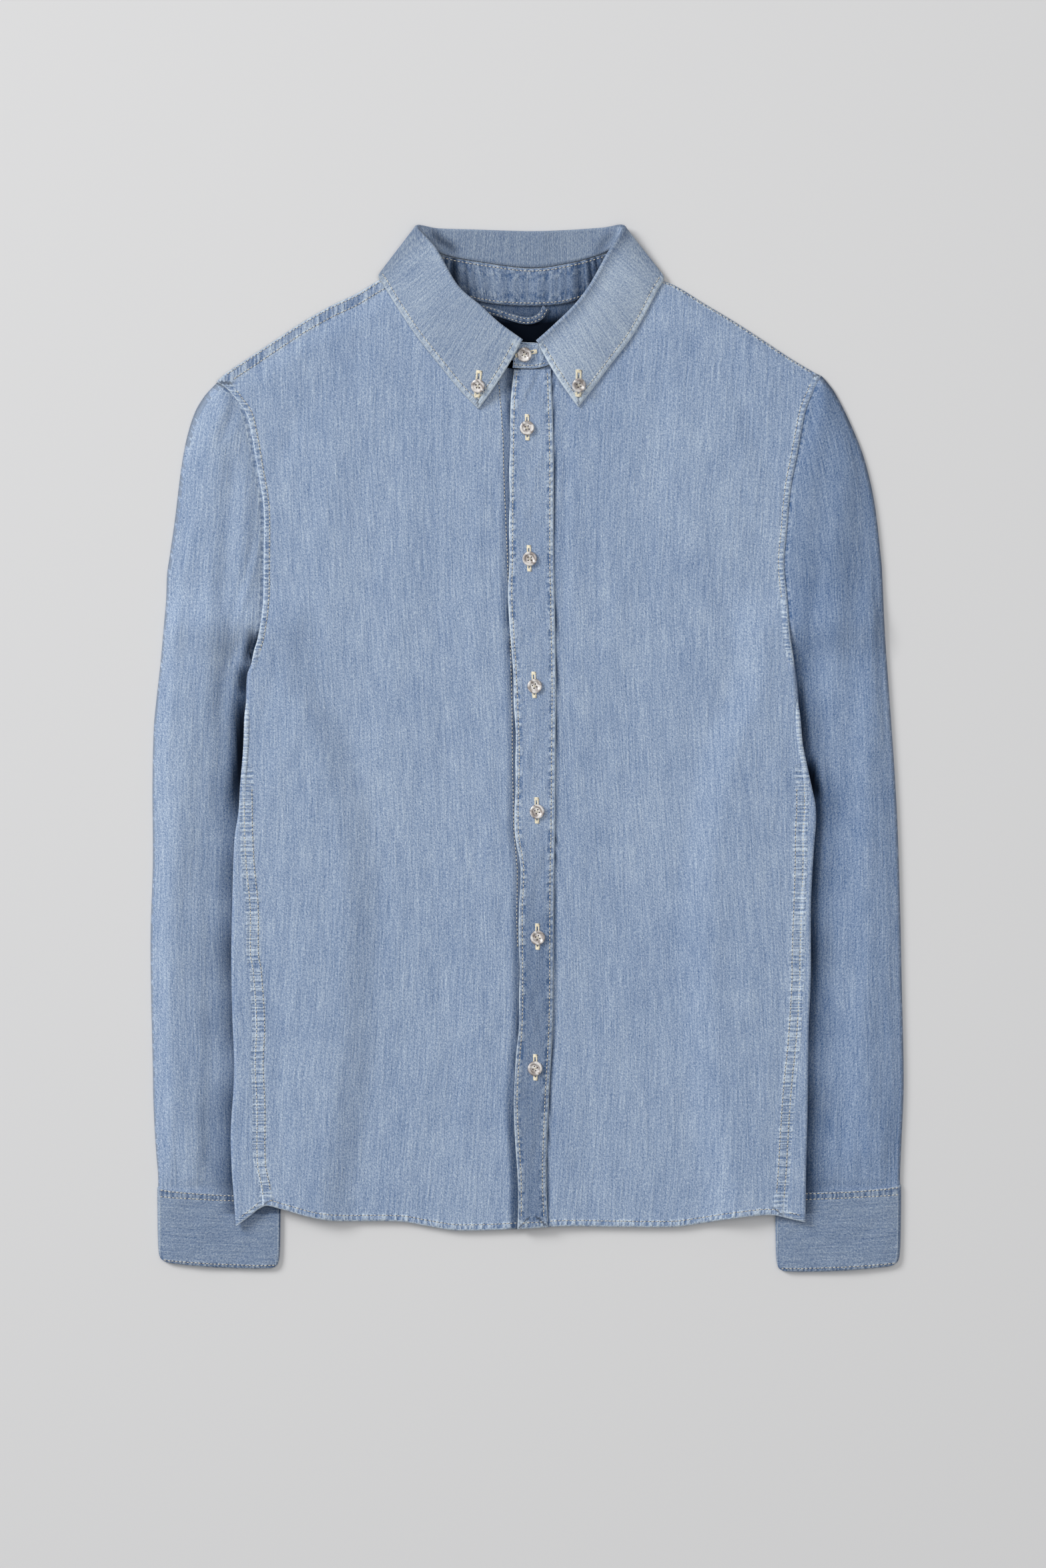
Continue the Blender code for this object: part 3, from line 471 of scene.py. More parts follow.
def patch(bottom, top, near, far, u, v):
    """Places inside four edges; each edge is a function of 0 to 1 that gives x and y."""
    low, high, first, last = (np.array(edge(share)) for edge, share in (
        (bottom, u), (top, u), (near, v), (far, v)))
    zero, one = np.zeros(1), np.ones(1)
    corner = {
        (a, b): np.array(edge(share))
        for edge, b in ((bottom, 0), (top, 1))
        for share, a in ((zero, 0), (one, 1))
    }
    x, y = (1 - v) * low + v * high + (1 - u) * first + u * last - (
        (1 - v) * ((1 - u) * corner[0, 0] + u * corner[1, 0])
        + v * ((1 - u) * corner[0, 1] + u * corner[1, 1])
    )
    return x, y


def denser_ends(share, amount):
    """Shares spread so that the grid is finer at both ends, by an amount below 1."""
    return share - amount * np.sin(math.tau * share) / math.tau


FOLD_RADIUS = 1.35
OFF_TABLE = 0.1
WRAP_SHARE = 0.18  # share of the back's columns in each side's wrapped part
FLAT_SHARE = 0.62  # share of those in the flat strip on top, before the fold
BACK_LAP = 3.0  # how far the back runs in under the front's edge
BACK_WAVES = ((0.25, 34.0, 61.0, 0.4),)
HEM_TURN = 4.6  # the hem's stitches above its edge
WRAP_TOP = -12.0  # the wrapped part starts here, just under the underarm
BACK_HEM_RISE = 1.8
SIDE_RUN = 1.9  # how close together the puckers are along the side seams


def back_shape(u, v):
    """Across: from the right side seam round the fold, over the table, to the left side seam."""
    side = np.where(u < 0.5, RIGHT, LEFT)
    from_end = np.minimum(u, 1 - u)
    low = follow(HEM, side * by_side(side, lambda s: side_line(s, -357.0) + 0 * u))
    y = low + v * (YOKE_SEAM - low)
    fold = by_side(side, lambda s: side_line(s, y))
    seam = by_side(side, lambda s: side_seam(s, y) - BACK_LAP)
    inset = np.where(y > UNDERARM, BACK_INSET, 0.0)
    wrap = np.clip(from_end / WRAP_SHARE, 0, 1)
    run_on = np.clip((from_end - WRAP_SHARE) / (0.5 - WRAP_SHARE), 0, 1)
    turn = math.pi * np.clip((wrap - FLAT_SHARE) / (1 - FLAT_SHARE), 0, 1)
    flat = np.clip(wrap / FLAT_SHARE, 0, 1)
    start = fold - FOLD_RADIUS
    top_out = np.maximum(seam + (start - seam) * flat, 0)
    wrap_out = np.where(turn > 0, start + FOLD_RADIUS * np.sin(turn), top_out)
    table = back_height(side * fold, y) + OFF_TABLE
    wrap_z = table + FOLD_RADIUS * (1 + np.cos(turn)) + 0.6 - 0.7 * ease(0.5, 0.0, flat)
    wrapping = wrap < 1
    out = np.where(wrapping, wrap_out, start * (1 - run_on))
    under = back_height(side * out, y) + OFF_TABLE
    z = np.where(wrapping, wrap_z, under)
    closed = ease(WRAP_TOP + 30, WRAP_TOP + 60, y)
    out = np.where(wrapping, out * (1 - closed) + (start - 1.0) * closed, out) - inset
    z = np.where(wrapping, z * (1 - closed) + (under + 0.5) * closed, z)
    x = side * out
    hem_y = follow(HEM, x)
    y = y + (hem_y - low) * (1 - v) ** 8 + BACK_HEM_RISE * ease(0.7, 1.0, run_on) * (1 - v) ** 8
    rim_seam = np.where(wrapping, np.maximum(out - seam - BACK_LAP, 0.0), 60.0)
    pull = gathers(y + 3.0, rim_seam, 5.0) * 0.1 * (1 - closed)
    z = z + np.where(turn < 2.2, pull, 0.0)
    z = z + waves(x, y, BACK_WAVES) * np.where(wrapping, 1.0, 0.0) * (1 - closed)
    rim = np.minimum(rim_seam / 2.2 + 0.2, np.abs(y - hem_y) / HEM_TURN)
    return dict(x=x, y=y, z=z, weft=x, warp=y, rim=rim, run=y * SIDE_RUN)


back = cloth_piece("back_panel", 100, 300, back_shape, BODY_CLOTH)
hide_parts("back")

# ---------------------------------------------------------------- yoke
# The yoke: a second panel across the shoulders, sewn to the top of the back. It lies flat on the
# table and shows only inside the neck.
YOKE_INSET, YOKE_UNDER = 0.85, 0.6  # inside the armhole, and below the shoulder line
YOKE_LEVEL = 1.2
YOKE_WAVES = ((0.2, 60.0, 45.0, 0.2),)
NECK_TOP = 360.4


def yoke_edge(side):
    high = SHOULDER_LINE[side][-1][1] - YOKE_UNDER
    return lambda v: (
        side * (side_line(side, YOKE_SEAM + (high - YOKE_SEAM) * v) - YOKE_INSET),
        YOKE_SEAM + SEAM + (high - YOKE_SEAM - SEAM) * v,
    )


def yoke_top(u):
    """Along the right shoulder, round the back of the neck and out along the left shoulder."""
    side = np.where(u < 0.5, RIGHT, LEFT)
    share = np.minimum(u, 1 - u) * 4
    neck_out = by_side(side, lambda s: SHOULDER_LINE[s][0][0] + 0 * u)
    end = by_side(side, lambda s: yoke_edge(s)(1.0)[0] * s + 0 * u)
    out = np.where(share < 1, end + (neck_out - end) * share, neck_out * (2 - share))
    on_shoulder = by_side(side, lambda s: follow(SHOULDER_LINE[s], np.maximum(out, neck_out)))
    dip = (NECK_TOP - BACK_NECK) * (1 - (2 - np.maximum(share, 1)) ** 2) + YOKE_UNDER
    return side * out, on_shoulder - dip


def yoke_shape(u, v):
    right, left = yoke_edge(RIGHT), yoke_edge(LEFT)

    def low(share):
        return (
            right(np.zeros(1))[0] * (1 - share) + left(np.zeros(1))[0] * share,
            YOKE_SEAM + SEAM + 0 * share,
        )

    x, y = patch(low, yoke_top, right, left, u, v)
    z = YOKE_LEVEL + waves(x, y, YOKE_WAVES) * ease(0, 12, y - YOKE_SEAM)
    # Painted shade: the yoke, seen only inside the neck, is darkened all over and goes near black towards
    # the throat, for the shade inside the collar.
    shade = 0.58 + 0.42 * ease(326.0, 317.0, y - 0.1 * np.abs(x))
    return dict(x=x, y=y, z=z, weft=x, warp=y, run=x, shade=shade)


yoke = cloth_piece("yoke_panel", 60, 30, yoke_shape, BODY_CLOTH)
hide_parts("yoke")

# ---------------------------------------------------------------- fronts
# Two fronts lie on the back. Each is felled to the back at its side seam, is turned over the
# sleeve at the armhole and into a narrow stitched hem, and is lapped by the yoke's seam along the
# shoulder. The left front laps the right one under the placket.
BUTTON_EDGE = 12.0  # the right front's edge, hidden under the placket
SHOULDER_SHARE = 0.56  # of a front's top edge, from the armhole to the neck
FRONT_UNDER = 0.3  # below the shoulder line
STRIP = 7.5  # width of the felled strip on the side seams and the shoulders
SHOULDER_STRIP = {RIGHT: STRIP + 0.7, LEFT: 2.2}
ARMHOLE_STITCH = 4.3  # the armhole's stitches inside its edge
SHOULDER_LEAN = 0.857  # a drop below the shoulder line, square to it
NECK_EDGE = (
    (0, 283.6), (14, 284.8), (30, 293), (52, 311), (72, 335), (84, 352),
    (91, 361),
)
# Placket: height, across at its free edge, across at its seam.
PLACKET = (
    (-359.8, -6.7, 16.2), (-321.3, -6.8, 14.8), (-262.8, -9.8, 16.8), (-203.8, -5.8, 19.8),
    (-121.3, -5.8, 20.3), (-89.8, -4.9, 20.6), (-62.8, -8.8, 21.2), (-2.8, -8.2, 21.6),
    (44.2, -9.8, 22), (60, -10.6, 21.8), (113.8, -13.8, 20.9), (138.8, -13.2, 20.3),
    (210.3, -12.8, 20.3), (256.8, -11.8, 19.3), (283.4, -9.8, 18.3),
)
# Soft troughs and ridges: x, y, length, width, depth, lean in degrees.
FRONT_CREASES = {RIGHT: (
    (-190, 55, 130, 8, -0.9, 14), (-172, 20, 170, 11, 0.7, 20),
    (-150, 150, 230, 10, 0.5, 3), (-124, 185, 190, 9, -0.5, -4),
    (-96, 110, 270, 11, 0.5, 4), (-64, 45, 250, 10, -0.5, -3),
    (-142, -45, 250, 13, -0.6, 9), (-102, -130, 240, 12, 0.5, 5),
    (-62, -185, 230, 11, -0.5, -4), (-154, -215, 190, 12, 0.5, -7),
    (-186, -255, 160, 7, -0.7, -4), (-42, -265, 160, 9, 0.5, 6),
    (-36, 150, 220, 7, 0.6, 1), (-176, 235, 90, 8, -0.6, 28),
    (-28, -60, 210, 5.5, 0.5, -1), (-118, 262, 110, 9, 0.4, 12),
), LEFT: (
    (29, 190, 210, 4.5, -0.8, 1), (29, 20, 260, 5, -0.5, -1),
    (62, 120, 260, 11, 0.6, -2), (92, 180, 210, 10, -0.5, 4),
    (128, 120, 240, 12, 0.5, -5), (160, 60, 190, 10, -0.6, -14),
    (176, 20, 150, 10, 0.7, -22), (70, -60, 260, 12, -0.5, 3),
    (112, -130, 240, 12, 0.5, -4), (150, -200, 190, 11, -0.6, 5),
    (60, -230, 200, 10, 0.5, 2), (96, -285, 120, 9, -0.4, -6),
    (180, -262, 150, 7, 0.5, 4), (168, 240, 100, 8, -0.6, -24),
    (110, 262, 110, 9, 0.4, -10),
)}
CREASE_DEPTH = 0.8  # the strength of the fronts' creases
BODY_PLUMP = 1.5  # how much the layers puff up between the seams
ABOVE_SEAM = 40.0  # the side seam ends and the armhole begins under this height
BODY_WAVES = ((0.22, 92.0, 150.0, 0.7), (0.11, 31.0, 97.0, 2.1), (0.08, 17.0, 66.0, 4.0))


def from_shoulder(side, x, y):
    return (follow(SHOULDER_LINE[side], np.abs(x)) - y) * SHOULDER_LEAN


def side_slant(side, y):
    """How much longer a front's side or armhole edge is than its height, at this place."""
    slope = (side_seam(side, y + 2.0) - side_seam(side, y - 2.0)) / 4.0
    return np.sqrt(1 + slope**2)


def from_side(side, x, y):
    """Distance in from a front's side or armhole edge, square to it."""
    return (side_seam(side, y) - side * x) / side_slant(side, y)


def fullness(shoulder, plump=1.0):
    """How far the body's layers lie above flat cloth, from nothing at the shoulder seam."""
    return (FOLD_RISE - ON_BACK + BODY_PLUMP * plump) * ease(0, 24, shoulder)


def lapped(x, y):
    """1 where the left front's edge lies on the right front, falling to 0 beside the placket."""
    return ease(40.0, 4.0, x - follow(PLACKET, y, 2))


def front_face(side, x, y):
    """Height of a front's outer face."""
    edge = from_side(side, x, y)
    shoulder = from_shoulder(side, x, y)
    hem = y - follow(HEM, x)
    plump = ease(4, 60, side_line(side, y) - side * x)
    z = back_height(x, y) + ON_BACK + fullness(shoulder, plump) + CLOTH / 2
    if side == LEFT:
        z = z + ON_BACK * lapped(x, y)
    calm = ease(0, 26, edge) * ease(0, 20, hem) * ease(0, 20, shoulder)
    bends = CREASE_DEPTH * creases(x, y, FRONT_CREASES[side]) + waves(x, y, BODY_WAVES)
    z = z + bends * (0.25 + 0.75 * calm)
    armhole, felled = ease(45.0, 70.0, y), ease(0.0, -30.0, y)
    strip = STRIP * ease(0.0, -45.0, y)  # it narrows to nothing where the seam meets the fold
    z = z + 0.35 * ease(strip + 0.6, strip - 0.6, edge) * felled
    z = z + armhole * (0.45 * ease(4.9, 3.6, edge) - 0.35 * groove(edge, ARMHOLE_STITCH, 0.9))
    z = z + 0.4 * ease(HEM_TURN + 0.7, HEM_TURN - 0.7, hem)
    z = z + 0.5 * ease(STRIP + 1.4, STRIP + 0.4, shoulder) * ease(62.0, 90.0, np.abs(x))
    reach = np.where(y > ABOVE_SEAM, 5.0, 8.0)
    z = z + gathers(y, edge, reach) * 0.12 * np.maximum(armhole, felled)
    z = z + 0.16 * gathers(x, hem, 5.0) + 0.22 * gathers(x * 1.15, shoulder, 8.5)
    fold_over = 2.6 * ease(-8.0, 20.0, y) * (1 - armhole) * rolled(edge, 3.0)
    return z - 0.7 * rolled(edge, 1.6) - 0.5 * rolled(hem, 1.2) - fold_over - rolled(shoulder, 2.0)


def neck_edge(side, out):
    return follow(NECK_EDGE, out * NECK_EDGE[-1][0] / SHOULDER_LINE[side][0][0])


def front_shape(side, middle):
    """The shape of a front whose middle edge runs where middle(y) says."""
    hem_side = follow(HEM, side * side_seam(side, -345.0))
    top = SHOULDER_LINE[side][-1][1] - FRONT_UNDER
    neck_out = SHOULDER_LINE[side][0][0]

    def outer(v):
        y = hem_side + v * (top - hem_side)
        return side * side_seam(side, y), y

    def inner(v):
        low, high = follow(HEM, middle(-360.0)), neck_edge(side, 0.0)
        y = low + (high - low) * v
        return middle(y), y

    def upper(u):
        end = side_seam(side, top)
        share = np.clip((u - SHOULDER_SHARE) / (1 - SHOULDER_SHARE), 0, 1)
        out = end + (neck_out - end) * np.minimum(u / SHOULDER_SHARE, 1)
        last = middle(neck_edge(side, 0.0))
        x = np.where(share > 0, side * neck_out + (last - side * neck_out) * share, side * out)
        on_shoulder = follow(SHOULDER_LINE[side], out) - FRONT_UNDER
        return x, np.where(share > 0, neck_edge(side, np.maximum(side * x, 0)), on_shoulder)

    def lower(u):
        start, end = outer(np.zeros(1))[0], inner(np.zeros(1))[0]
        x = start + (end - start) * u
        return x, follow(HEM, x)

    def shape(u, v):
        u = denser_ends(u, {RIGHT: 0.62, LEFT: 0.55}[side])
        x, y = patch(lower, upper, outer, inner, u, v)
        edge, hem = from_side(side, x, y), y - follow(HEM, x)
        shoulder = np.where(np.abs(x) > 60, from_shoulder(side, x, y), 60.0)
        strip = np.where(y > ABOVE_SEAM, ARMHOLE_STITCH, STRIP - 0.4)
        none = 20.0 * ease(-14.0, 0.0, y) * ease(64.0, 50.0, y)
        strips = np.stack([edge / strip + none, hem / HEM_TURN, shoulder / SHOULDER_STRIP[side]])
        run = np.choose(np.argmin(strips, 0), [y * SIDE_RUN, x * 1.2, x * 1.5])
        lean = 7.0 * np.sin(y / 105.0 + x / 140.0)
        # Painted shade: on the right front a dark channel beside the placket's free edge, deeper near the
        # hem and the throat, and a dark line in the gap under that edge; on the left front a dark line
        # beside the placket's seam. The felled shoulder strip is also made a little darker.
        beside = x - follow(PLACKET, y)
        deep = 0.3 + 0.25 * ease(-240.0, -300.0, y) + 0.25 * ease(240.0, 282.0, y)
        gap = 0.75 * groove(beside, -0.9, 1.2) * (0.75 + 0.25 * np.sin(y / 37.0))
        felled = 0.1 * ease(STRIP + 1.4, STRIP, shoulder) * ease(85.0, 95.0, np.abs(x))
        if side == RIGHT:
            shade = np.maximum(ease(-7.5, -3.0, beside) * deep, gap) + felled
        else:
            shade = 0.6 * groove(x - follow(PLACKET, y, 2), 0.7, 0.9) + 0.4 * felled
        z, rim = front_face(side, x, y), strips.min(0)
        return dict(x=x, y=y, z=z, weft=x + lean, warp=y, rim=rim, run=run, shade=shade)

    return shape


button_side = front_shape(RIGHT, lambda y: BUTTON_EDGE + 0 * y)
front_right = cloth_piece("front_button_side", 84, 500, button_side, BODY_CLOTH)
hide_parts("front_right")
placket_side = front_shape(LEFT, lambda y: follow(PLACKET, y) + 0.8)
front_left = cloth_piece("front_placket_side", 84, 500, placket_side, BODY_CLOTH)
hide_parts("front_left")

# ---------------------------------------------------------------- placket
# The placket is a separate folded band on the left front, stitched along its free edge and along
# its seam. Between the rows it is mottled and a little puckered from washing.
PLACKET_TOP = 283.4
PLACKET_ROW = 2.6  # the stitches' distance inside each edge
PLACKET_CREASES = (
    (6, 273, 26, 2.2, -0.8, 27), (1, 268, 26, 2.8, 0.5, 30),
    (13, 262, 20, 2.4, -0.5, -20), (4, 196, 40, 3, 0.3, 12),
    (9, 90, 44, 3.2, -0.3, -10), (2, -10, 50, 3, 0.3, 9),
    (10, -100, 40, 3, -0.35, 14), (4, -200, 50, 3.2, 0.3, -12),
    (8, -300, 50, 3, -0.35, 8),
)
PLACKET_WAVES = ((0.14, 19.0, 23.0, 0.3), (0.12, 11.0, 37.0, 1.9))


def placket_face(x, y):
    z = back_height(x, y) + 3 * ON_BACK + fullness(from_shoulder(LEFT, x, y)) + CLOTH / 2
    edge = np.minimum(x - follow(PLACKET, y), follow(PLACKET, y, 2) - x)
    z = z + waves(x, y, PLACKET_WAVES) + creases(x, y, PLACKET_CREASES)
    z = z - 0.32 * groove(edge, PLACKET_ROW, 0.8)
    z = z + 0.2 * gathers(y + 2.0 * (x > 4), edge - 0.4, 6.0, 5.6)
    return z - 0.7 * rolled(edge, 1.2)


def placket_shape(u, v):
    low = PLACKET[0][0]
    y = low + v * (PLACKET_TOP - low)
    free, seam = follow(PLACKET, y), follow(PLACKET, y, 2)
    x = free + (seam - free) * denser_ends(u, 0.3)
    x = x + 0.3 * np.sin(y / 9.0 + 1.5 * np.sin(y / 31.0)) * (1 - u) ** 2
    foot = follow(HEM, x)
    y = y + (foot - low) * (1 - v) ** 6
    edge = np.minimum(x - free, seam - x)
    hem = y - foot
    rim = np.minimum(edge / 2.8, hem / HEM_TURN)
    run = np.where(hem < edge, x, y + 40.0 * (u > 0.5))
    z = placket_face(x, y) + 0.3 * ease(HEM_TURN + 0.7, HEM_TURN - 0.7, hem)
    shade = 0.2 * ease(-20.0, -190.0, y) + 0.04
    return dict(x=x, y=y, z=z, weft=x + 90, warp=y, rim=rim, run=run, shade=shade)


PLACKET_CLOTH = chambray("chambray_placket", reach=1.7, tone=0.5, streak=0.8, wear=0.7, strip=0.18)
placket = cloth_piece("placket_band", 24, 400, placket_shape, PLACKET_CLOTH)
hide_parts("placket")

# ---------------------------------------------------------------- sleeves
# Each sleeve is one layer sewn into a tube. It lies flattened, its inner fold under the body, and
# its cap runs under the armhole seam.
UNDER_SLEEVE = 4.3  # the flattened sleeve's height under the body's edge
PLUMP, PLUMP_START = 4.6, 18.0  # how far it puffs up beside the body, and from how far out
TUBE_ROUND = 1.95  # radius of the outside of a flattened tube's folds
FOLD_EASE = 15.0  # a layer is at its full height this far from a fold
TUCK = 2.6  # how far the cap runs under the front's edge
SLEEVE_END = 4.5  # how far the sleeve runs under the cuff
CUFF_DIVE = 1.2  # how far the sleeve dips where it goes under the cuff
UPPER_SHARE = 0.66  # share of a tube's columns in its upper layer
SLEEVE_FOOT = -333.0  # where the cuff takes the sleeve in
CAP_LOW, CAP_HIGH = 62.0, 100.0  # between them the sleeve rises to the body's layers
BEND = 1.25  # the strength of a sleeve's creases and waves
# Outer fold: height, distance out.
OUTER_FOLD = {
    RIGHT: (
        (-335, 276.6), (-320.8, 276.6), (-305.8, 277.9), (-282.8, 279.4), (-259.8, 280.3),
        (-243.3, 280.5), (-191.3, 281.7), (-139.8, 282.2), (-86.3, 280.5), (-29.8, 280.8),
        (15.3, 279.8), (34.8, 278), (63.3, 274.9), (92.3, 272.4), (110.3, 270.9),
        (130.3, 270.2), (143.3, 268.4), (172.8, 264.4), (208.3, 260.3), (232.3, 256.2),
        (251.8, 250.3), (263.8, 243.4), (274.8, 233.6),
    ),
    LEFT: (
        (-335, 280.6), (-322.3, 280.2), (-294.8, 281.3), (-260.3, 282.8), (-234.3, 282.8),
        (-169.8, 281.3), (-118.3, 280.2), (-61.3, 278.4), (-22.8, 276.4), (34.8, 272.4),
        (82.3, 269), (130.3, 266.7), (137.3, 266.3), (183.8, 260.8), (217.3, 252.9),
        (244.8, 241.9), (265.8, 231.2), (273.3, 225.8), (279.3, 220.6),
    ),
}
# Rings from the armhole to the cuff: each ring's height at the outer fold. Its inner end is a row
# of the inner fold, apart from the first two, which are given as (height, out).
RING_HEIGHTS = {
    RIGHT: (
        274, 263.8, 243, 208, 158, 108, 56, 2, -66, -140, -200, -258, -303, -331,
    ),
    LEFT: (
        279, 264.5, 243, 208, 160, 108, 56, 2, -66, -140, -200, -258, -300, -328,
    ),
}
FIRST_RINGS = {RIGHT: ((58.0, 211.5), (50.0, 210.0)), LEFT: ((58.0, 205.0), (50.0, 204.0))}
# How much of the armhole's curve each ring keeps.
RING_CURVES = (1.0, 0.85, 0.66, 0.45, 0.28, 0.14, 0.05, 0.0, 0.0, 0.0, 0.0, 0.0, 0.0, 0.0)
# Troughs and ridges on the upper layer: distance out, height, length, width, depth, lean.
SLEEVE_CREASES = {
    RIGHT: (
        (225, 150, 150, 8, -1.5, -3), (211, 150, 120, 7, 0.9, 0),
        (222, 247, 36, 2.8, -1.3, -20), (232, 244, 46, 4, 0.7, -22),
        (208, 126, 70, 3, 0.7, -16), (214, 118, 70, 3, -0.8, -16),
        (243, 215, 110, 6, -0.8, -14), (250, 170, 150, 7, 0.6, -7),
        (236, 90, 170, 8, 0.8, -5), (222, 60, 90, 6, -1.2, -12),
        (258, 60, 190, 8, -0.7, -3), (246, -30, 220, 9, -0.9, -1),
        (264, -60, 220, 8, 0.6, 0), (233, -110, 210, 8, 0.8, 2),
        (254, -190, 210, 8, -0.8, 1), (238, -235, 150, 7, -0.6, -2),
        (268, -235, 150, 6, 0.6, 1), (262, -305, 60, 4, -0.8, 2),
        (247, -298, 70, 5, 0.7, -3), (232, -300, 60, 4, -0.7, 1),
    ),
    LEFT: (
        (212, 245, 60, 4, -1.5, 16), (222, 180, 150, 8, -0.9, 5),
        (238, 190, 150, 8, 0.7, 12), (248, 120, 170, 8, -0.7, 5),
        (214, 80, 110, 7, -1.2, 6), (230, 60, 170, 8, 0.8, 4),
        (258, 20, 200, 8, 0.6, 2), (244, -40, 220, 9, -0.9, 2),
        (264, -90, 210, 8, -0.6, 1), (236, -140, 200, 8, 0.7, -2),
        (254, -210, 200, 8, 0.7, 2), (268, -245, 150, 6, -0.6, -1),
        (238, -245, 150, 7, -0.7, 2), (250, -302, 60, 4, -0.8, -2),
        (266, -300, 60, 5, 0.6, 2), (230, -300, 60, 4, 0.6, 1),
    ),
}
# Deep places between a sleeve and the body, where the sleeve dips and is painted near black for the shade
# in the gap: clearance out, height, length, width, depth.
POCKETS = {
    RIGHT: ((5.0, -2.0, 84.0, 3.4, 1.0), (4.4, 50.0, 24.0, 3.0, 0.8), (3.6, 74.0, 22.0, 3.0, 0.75)),
    LEFT: ((4.4, -24.0, 30.0, 3.4, 0.98), (2.4, 20.0, 60.0, 2.4, 0.5), (2.4, -110.0, 160.0, 2.2, 0.45)),
}
POCKET_DEPTH, POCKET_SHADE = 4.4, 0.985
BESIDE_SHADE, BESIDE_REACH = 0.72, 13.0  # the body's shadow along the whole of the sleeve


def pocket_share(side, out, height):
    """How deep in one of the dark places between sleeve and body a point of the sleeve lies."""
    beside = out - side_line(side, height)
    deep = np.zeros_like(out)
    for clear, at, length, width, depth in POCKETS[side]:
        across = np.where(beside > clear, (beside - clear) / width, 0.0)
        deep = np.maximum(deep, depth * np.exp(-across**2 - (2 * (height - at) / length) ** 4))
    return deep


def sleeve_top(side, out, height):
    """Outer face of a sleeve's upper layer, away from its folds."""
    line = side_line(side, height)
    start = line + PLUMP_START * ease(CAP_HIGH, CAP_LOW, height)
    outer = follow(OUTER_FOLD[side], height)
    seam_level = back_height(side * (line - 1), height) + FOLD_RISE
    base = UNDER_SLEEVE + (seam_level - UNDER_SLEEVE) * ease(CAP_LOW, CAP_HIGH, height)
    share = np.clip((out - start) / np.maximum(outer - start, 1), 0, 1)
    cuffward = ease(SLEEVE_FOOT, SLEEVE_FOOT + 33.0, height)
    z = base + PLUMP * np.sin(math.pi * share) ** 0.9 * (0.1 + 0.9 * cuffward) + CLOTH / 2
    bends = creases(out, height, SLEEVE_CREASES[side]) + waves(out, height, BODY_WAVES)
    free = ease(-4.0, 6.0, out - line) * ease(SLEEVE_FOOT, SLEEVE_FOOT + 11.0, height)
    z = z + BEND * bends * free * ease(0.0, 12.0, outer - out)
    z = z - POCKET_DEPTH * pocket_share(side, out, height)
    z = z - CUFF_DIVE * ease(SLEEVE_FOOT + 10.0, SLEEVE_FOOT + 1.5, height)
    return z - 0.35 * ease(4.0, 0.0, out - line) * ease(70.0, CAP_HIGH, height)


def tube_point(outer, inner, bow, u, top_at):
    """Round a flattened tube: over its upper layer from outer to inner fold, and back below."""
    above = np.clip(u / UPPER_SHARE, 0, 1)
    below = np.clip((u - UPPER_SHARE) / (1 - UPPER_SHARE), 0, 1)
    upper = u <= UPPER_SHARE
    share = np.where(upper, denser_ends(above, 0.35), 1 - denser_ends(below, 0.5))
    out = outer[0] + (inner[0] - outer[0]) * share + bow(share)[0]
    height = outer[1] + (inner[1] - outer[1]) * share + bow(share)[1]
    width = np.hypot(inner[0] - outer[0], inner[1] - outer[1])
    from_fold = np.minimum(share, 1 - share) * width
    arc = TUBE_ROUND * np.sqrt(1 - (1 - np.clip(from_fold / TUBE_ROUND, 0, 1)) ** 2)
    full = np.sin(np.clip(from_fold / FOLD_EASE, 0, 1) * math.pi / 2)
    face = TUBE_ROUND + arc + (top_at(out, height) - 2 * TUBE_ROUND) * full
    z = np.where(upper, np.maximum(face, TUBE_ROUND + arc * 0.5), TUBE_ROUND - arc)
    return out, height, z, share, width


def distances(points):
    """How far along the line through points each one lies."""
    steps = np.linalg.norm(np.diff(points, axis=0), axis=1)
    return np.concatenate([[0.0], np.cumsum(steps)])


